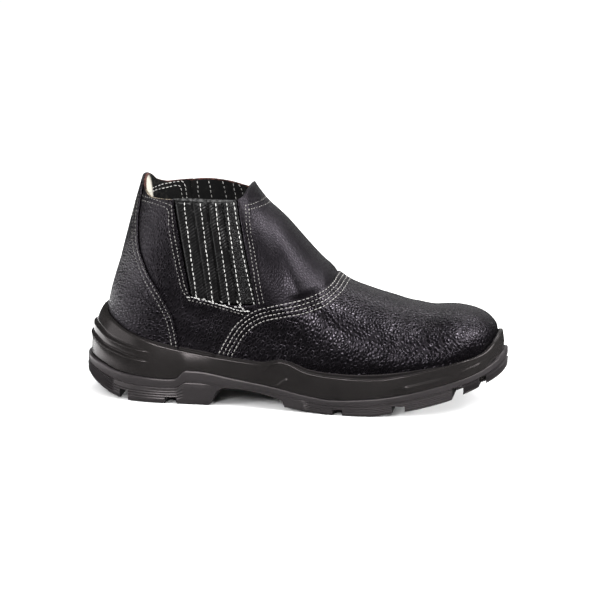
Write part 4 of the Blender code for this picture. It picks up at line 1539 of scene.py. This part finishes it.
class BootColours(bpy.types.PropertyGroup):
    """Colours that may be changed before the pieces are made."""
    leather: bpy.props.FloatVectorProperty(
        name="Leather", description="Black leather", default=(0.0019, 0.0016, 0.0021), subtype="COLOR")
    pale_edge: bpy.props.FloatVectorProperty(
        name="Pale edge", description="Cut edge, outer side", default=(0.24, 0.20, 0.15), subtype="COLOR")
    brown_edge: bpy.props.FloatVectorProperty(
        name="Brown edge", description="Cut edge, inner side", default=(0.085, 0.035, 0.028), subtype="COLOR")
    grey_edge: bpy.props.FloatVectorProperty(
        name="Grey edge", description="Top of the outer elastic", default=(0.06, 0.06, 0.06), subtype="COLOR")
    lining_dark: bpy.props.FloatVectorProperty(
        name="Dark lining", description="Lining along the sides",
        default=(0.001, 0.001, 0.0012), subtype="COLOR")
    lining_pale: bpy.props.FloatVectorProperty(
        name="Pale lining", description="Lining behind the heel", default=(0.55, 0.52, 0.45), subtype="COLOR")
    elastic: bpy.props.FloatVectorProperty(
        name="Elastic", description="Covered elastic", default=(0.006, 0.0057, 0.006), subtype="COLOR")
    cup: bpy.props.FloatVectorProperty(
        name="Cup", description="Moulded cup of the sole", default=(0.009, 0.0082, 0.008), subtype="COLOR")
    tread: bpy.props.FloatVectorProperty(
        name="Tread", description="Tread layer of the sole", default=(0.019, 0.0172, 0.018), subtype="COLOR")
    thread: bpy.props.FloatVectorProperty(
        name="Thread", description="Thread on the leather", default=(0.30, 0.29, 0.275), subtype="COLOR")
    bright_thread: bpy.props.FloatVectorProperty(
        name="Bright thread", description="Thread on the elastic",
        default=(0.50, 0.495, 0.48), subtype="COLOR")
    sock: bpy.props.FloatVectorProperty(
        name="Sock", description="Insole sock", default=(0.10, 0.10, 0.11), subtype="COLOR")
    floor: bpy.props.FloatVectorProperty(
        name="Floor", description="Floor of the stage", default=(0.88, 0.88, 0.88), subtype="COLOR")


def sizes():
    """Sizes as set in the scene, in millimetres."""
    group = bpy.context.scene.boot_sizes
    return {name: getattr(group, name) / MM for name in BootSizes.__annotations__}


def colour(name):
    """A colour as set in the scene."""
    return tuple(getattr(bpy.context.scene.boot_colours, name))


# Operators

class BOOT_OT_upper(bpy.types.Operator):
    """Make the hollow leather wall with its lining"""
    bl_idname = "boot.upper"
    bl_label = "Upper"

    def execute(self, context):
        size = sizes()
        looks = [
            leather_material(
                "upper leather", colour("leather"), size["upper_grain"], depth=0.20, roughness=0.26,
                stretch=(1, 1, 2.0), turn=(0, math.radians(25), 0)),
            raw_edge_material("near raw edge", colour("pale_edge")),
            lining_material("lining", colour("lining_dark"), colour("lining_pale")),
            leather_material(
                "instep leather", colour("leather"), size["upper_grain"], depth=0.09, roughness=0.31,
                stretch=(1, 1, 1.3), turn=(0, 0, 0)),
            raw_edge_material("far raw edge", colour("brown_edge")),
        ]
        piece = panel_mesh(
            "upper_leather", UPPER_LEVELS, UPPER_TURNS, True,
            upper_region, lambda x, z: -in_window(x, z), upper_height, -size["wall"], UPPER_EDGE, looks,
        )
        add_attribute(piece, "tone", lining_tone(points_of(piece)))
        sort_upper_faces(piece)
        hand_over(piece, "leather_upper", "upper")
        return {"FINISHED"}


class BOOT_OT_vamp(bpy.types.Operator):
    """Make the vamp over the toe and the front of the foot"""
    bl_idname = "boot.vamp"
    bl_label = "Vamp"

    def execute(self, context):
        size = sizes()
        look = leather_material(
            "vamp leather", colour("leather"), size["vamp_grain"], depth=0.25, roughness=0.18,
            stretch=(1, 1, 1.5), turn=(0, math.radians(22), 0), dents=(1.0, 2.93, 4), calm=(46, 70, 0.8))
        piece = panel_mesh(
            "vamp_leather", VAMP_LEVELS, VAMP_TURNS, False,
            vamp_region, lambda x, z: -beside(VAMP_LINE, x, z),
            overlay_height(VAMP_CREASES, size["overlay"]), size["overlay_gap"],
            OVERLAY_EDGE, [look, look, look],
        )
        hand_over(piece, "leather_vamp", "vamp")
        return {"FINISHED"}


class BOOT_OT_counter(bpy.types.Operator):
    """Make the counter round the heel"""
    bl_idname = "boot.counter"
    bl_label = "Counter"

    def execute(self, context):
        size = sizes()
        look = leather_material(
            "counter leather", colour("leather"), size["counter_grain"], depth=0.32, roughness=0.25,
            stretch=(1.5, 1, 1), turn=(0, math.radians(-20), 0), dents=(1.6, 3.0, 2), calm=(90, 130, 0.4))
        piece = panel_mesh(
            "counter_leather", COUNTER_LEVELS, COUNTER_TURNS, False,
            counter_region, lambda x, z: beside(COUNTER_LINE, x, z),
            overlay_height(COUNTER_CREASES, size["overlay"]), size["overlay_gap"],
            OVERLAY_EDGE, [look, look, look],
        )
        hand_over(piece, "leather_counter", "counter")
        return {"FINISHED"}


class BOOT_OT_gores(bpy.types.Operator):
    """Make the two pleated elastic panels"""
    bl_idname = "boot.gores"
    bl_label = "Elastic panels"

    def execute(self, context):
        size = sizes()
        look = pleat_material("covered elastic", colour("elastic"))
        inside = lining_material("elastic lining", colour("lining_dark"), colour("lining_pale"))
        for side, name, rim in ((OUTER, "outer", "grey_edge"), (INNER, "inner", "brown_edge")):
            edge = raw_edge_material("edge of the elastic " + name, colour(rim))
            piece = gore_mesh(
                "elastic_" + name, side, size["pleat_depth"], size["pleat_crown"],
                -size["wall"] - GORE_LINING_BACK, [look, inside, edge])
            hand_over(piece, "pleat_" + name, "gore_" + name)
        return {"FINISHED"}


class BOOT_OT_cup(bpy.types.Operator):
    """Make the moulded cup of the sole"""
    bl_idname = "boot.cup"
    bl_label = "Sole cup"

    def execute(self, context):
        rings, dark = cup_rings()
        look = sole_material("moulded cup", colour("cup"), 0.24)
        piece = add_piece("sole_cup", np.vstack(rings), loft_faces(len(rings)), [look])
        # The dark attribute carries the painted shade of the strip under the lip and of the inside of the
        # cup.
        add_attribute(piece, "dark", np.repeat(dark, 2 * SOLE_STEPS))
        hand_over(piece, "sole_cup", "midsole")
        return {"FINISHED"}


class BOOT_OT_tread(bpy.types.Operator):
    """Make the tread layer with its heel, lugs and arch"""
    bl_idname = "boot.tread"
    bl_label = "Sole tread"

    def execute(self, context):
        rings = tread_rings()
        look = sole_material("moulded tread", colour("tread"), 0.34)
        piece = add_piece("sole_tread", np.vstack(rings), loft_faces(len(rings)), [look])
        cut_away(piece, tread_cutters())
        piece.data.set_sharp_from_angle(angle=math.radians(CUT_EDGE_ANGLE))
        hand_over(piece, "sole_tread", "outsole")
        return {"FINISHED"}


class BOOT_OT_insole(bpy.types.Operator):
    """Make the sock on the floor of the cup"""
    bl_idname = "boot.insole"
    bl_label = "Insole"

    def execute(self, context):
        rings = []
        for rise, out in SOCK_EDGE:
            rings.append(sole_ring(
                feather_z,
                lambda x, rise=rise: feather_z(x) + rise,
                lambda x, out=out: np.full_like(x, out),
            ))
        look = sock_material("insole sock", colour("sock"))
        piece = add_piece("insole_sock", np.vstack(rings), loft_faces(len(rings)), [look])
        hand_over(piece, "insole_sock", "insole")
        return {"FINISHED"}


class BOOT_OT_stitches(bpy.types.Operator):
    """Sew the rows of stitches on the panels, the elastic and the lining"""
    bl_idname = "boot.stitches"
    bl_label = "Stitching"

    def execute(self, context):
        size = sizes()
        grey = thread_material("thread", colour("thread"))
        dim = thread_material("dim thread", darker(colour("thread"), 0.6))
        white = thread_material("bright thread", colour("bright_thread"))

        vamp_face = overlay_height(VAMP_CREASES, size["overlay"])
        rows = []
        for away in VAMP_ROWS_AT:
            line = offset_line(VAMP_LINE, -away)
            rows.append(over_the_top(line, lambda x, z, side, away=away: vamp_face(x, z, side, away)))
        sew("stitches_vamp", rows, grey, seed=3, **PLAIN_STITCH)

        counter_face = overlay_height(COUNTER_CREASES, size["overlay"])
        rows = []
        for away in COUNTER_ROWS_AT:
            line = offset_line(COUNTER_LINE, away)
            line = line[(line[:, 1] > lip_z(line[:, 0])) & (line[:, 1] < COUNTER_ROW_TOP)]
            rows += on_both_sides(line, lambda x, z, side, away=away: counter_face(x, z, side, away))
        sew("stitches_counter", rows, dim, seed=5, **SMALL_STITCH)

        rows = []
        for points in EDGE_ROWS:
            rows += on_both_sides(smooth_line(points, 1.0), lambda x, z, side: upper_height(x, z, side, 0))
        sew("stitches_edges", rows, dim, seed=7, **SMALL_STITCH)

        rows = []
        up = np.linspace(0.015, 0.975, 50)
        for pleat, low, top in zip(*PLEAT_ROWS.values()):
            share = blend(low, top, up)
            line = np.column_stack(gore_place(pleat_place(int(pleat), share, up), up))
            height = pleat_height(int(pleat), share, up, size["pleat_depth"], size["pleat_crown"]) + 0.1
            rows += on_both_sides(line, lambda x, z, side, height=height: height)
        sew("stitches_pleats", rows, white, seed=11, **BRIGHT_STITCH)

        rows = []
        for points in (FOOT_ROW, *FOOT_KNOTS):
            rows += on_both_sides(smooth_line(points, 0.5), lambda x, z, side: 0.35 + 0 * x)
        sew("stitches_foot", rows, white, seed=13, **KNOT_STITCH)

        def lining_face(x, z, side):
            return -size["wall"] - 0.25 - GORE_LINING_BACK * (in_window(x, z) > 0)

        rows = []
        for points in INSIDE_ROWS:
            inside = on_both_sides(smooth_line(points, 1.0), lining_face)
            rows += [(place, -way) for place, way in inside]
        sew("stitches_inside", rows, white, seed=17, **PLAIN_STITCH)
        return {"FINISHED"}


class BOOT_OT_stage(bpy.types.Operator):
    """Make the floor, the lights and the camera"""
    bl_idname = "boot.stage"
    bl_label = "Stage"

    def execute(self, context):
        scene = context.scene
        half = 4.0
        mesh = bpy.data.meshes.new("floor")
        mesh.from_pydata(
            [(-half, -half, 0), (half, -half, 0), (half, half, 0), (-half, half, 0)], [], [(0, 1, 2, 3)])
        made, _, shader, _ = start_material("floor")
        shader.inputs["Base Color"].default_value = (*colour("floor"), 1.0)
        shader.inputs["Roughness"].default_value = 0.9
        mesh.materials.append(made)
        floor = bpy.data.objects.new("floor", mesh)
        floor.visible_glossy = False
        scene.collection.objects.link(floor)

        for name, place, target, width, height, power, mirrored in LIGHTS:
            light = bpy.data.lights.new(name, "AREA")
            light.shape = "RECTANGLE"
            light.size = width
            light.size_y = height
            light.energy = power
            holder = bpy.data.objects.new(name, light)
            holder.visible_camera = False
            holder.visible_glossy = mirrored
            holder.location = place
            holder.rotation_euler = (Vector(target) - Vector(place)).to_track_quat("-Z", "Y").to_euler()
            scene.collection.objects.link(holder)

        world = bpy.data.worlds.new("soft room")
        world.use_nodes = True
        world.node_tree.nodes["Background"].inputs["Color"].default_value = (1.0, 1.0, 1.0, 1.0)
        world.node_tree.nodes["Background"].inputs["Strength"].default_value = WORLD_LIGHT
        scene.world = world
        scene.view_settings.view_transform = "Standard"

        lens = bpy.data.cameras.new("camera")
        lens.sensor_width = 36.0
        lens.lens = CAMERA_LENS
        lens.shift_x = CAMERA_SHIFT[0]
        lens.shift_y = CAMERA_SHIFT[1]
        lens.clip_end = 50.0
        camera = bpy.data.objects.new("camera", lens)
        camera.matrix_world = camera_matrix()
        scene.collection.objects.link(camera)
        scene.camera = camera
        return {"FINISHED"}


class BOOT_PT_panel(bpy.types.Panel):
    """Buttons and settings in the sidebar"""
    bl_label = "Steel toe ankle boot"
    bl_idname = "BOOT_PT_panel"
    bl_space_type = "VIEW_3D"
    bl_region_type = "UI"
    bl_category = "Boot"

    def draw(self, context):
        layout = self.layout
        for operator in OPERATORS:
            layout.operator(operator.bl_idname)
        for group in (context.scene.boot_sizes, context.scene.boot_colours):
            box = layout.box()
            for name in group.__annotations__:
                box.prop(group, name)


OPERATORS = (
    BOOT_OT_upper, BOOT_OT_vamp, BOOT_OT_counter, BOOT_OT_gores,
    BOOT_OT_cup, BOOT_OT_tread, BOOT_OT_insole, BOOT_OT_stitches, BOOT_OT_stage,
)
CLASSES = (BootSizes, BootColours, *OPERATORS, BOOT_PT_panel)


def register():
    """Make the classes and settings known."""
    for one in CLASSES:
        bpy.utils.register_class(one)
    bpy.types.Scene.boot_sizes = bpy.props.PointerProperty(type=BootSizes)
    bpy.types.Scene.boot_colours = bpy.props.PointerProperty(type=BootColours)


def unregister():
    """Take the settings and classes away again."""
    del bpy.types.Scene.boot_colours
    del bpy.types.Scene.boot_sizes
    for one in reversed(CLASSES):
        bpy.utils.unregister_class(one)


def main():
    """Make every piece."""
    register()
    bpy.ops.boot.upper()
    bpy.ops.boot.vamp()
    bpy.ops.boot.counter()
    bpy.ops.boot.gores()
    bpy.ops.boot.cup()
    bpy.ops.boot.tread()
    bpy.ops.boot.insole()
    bpy.ops.boot.stitches()
    bpy.ops.boot.stage()


if __name__ == "__main__":
    main()
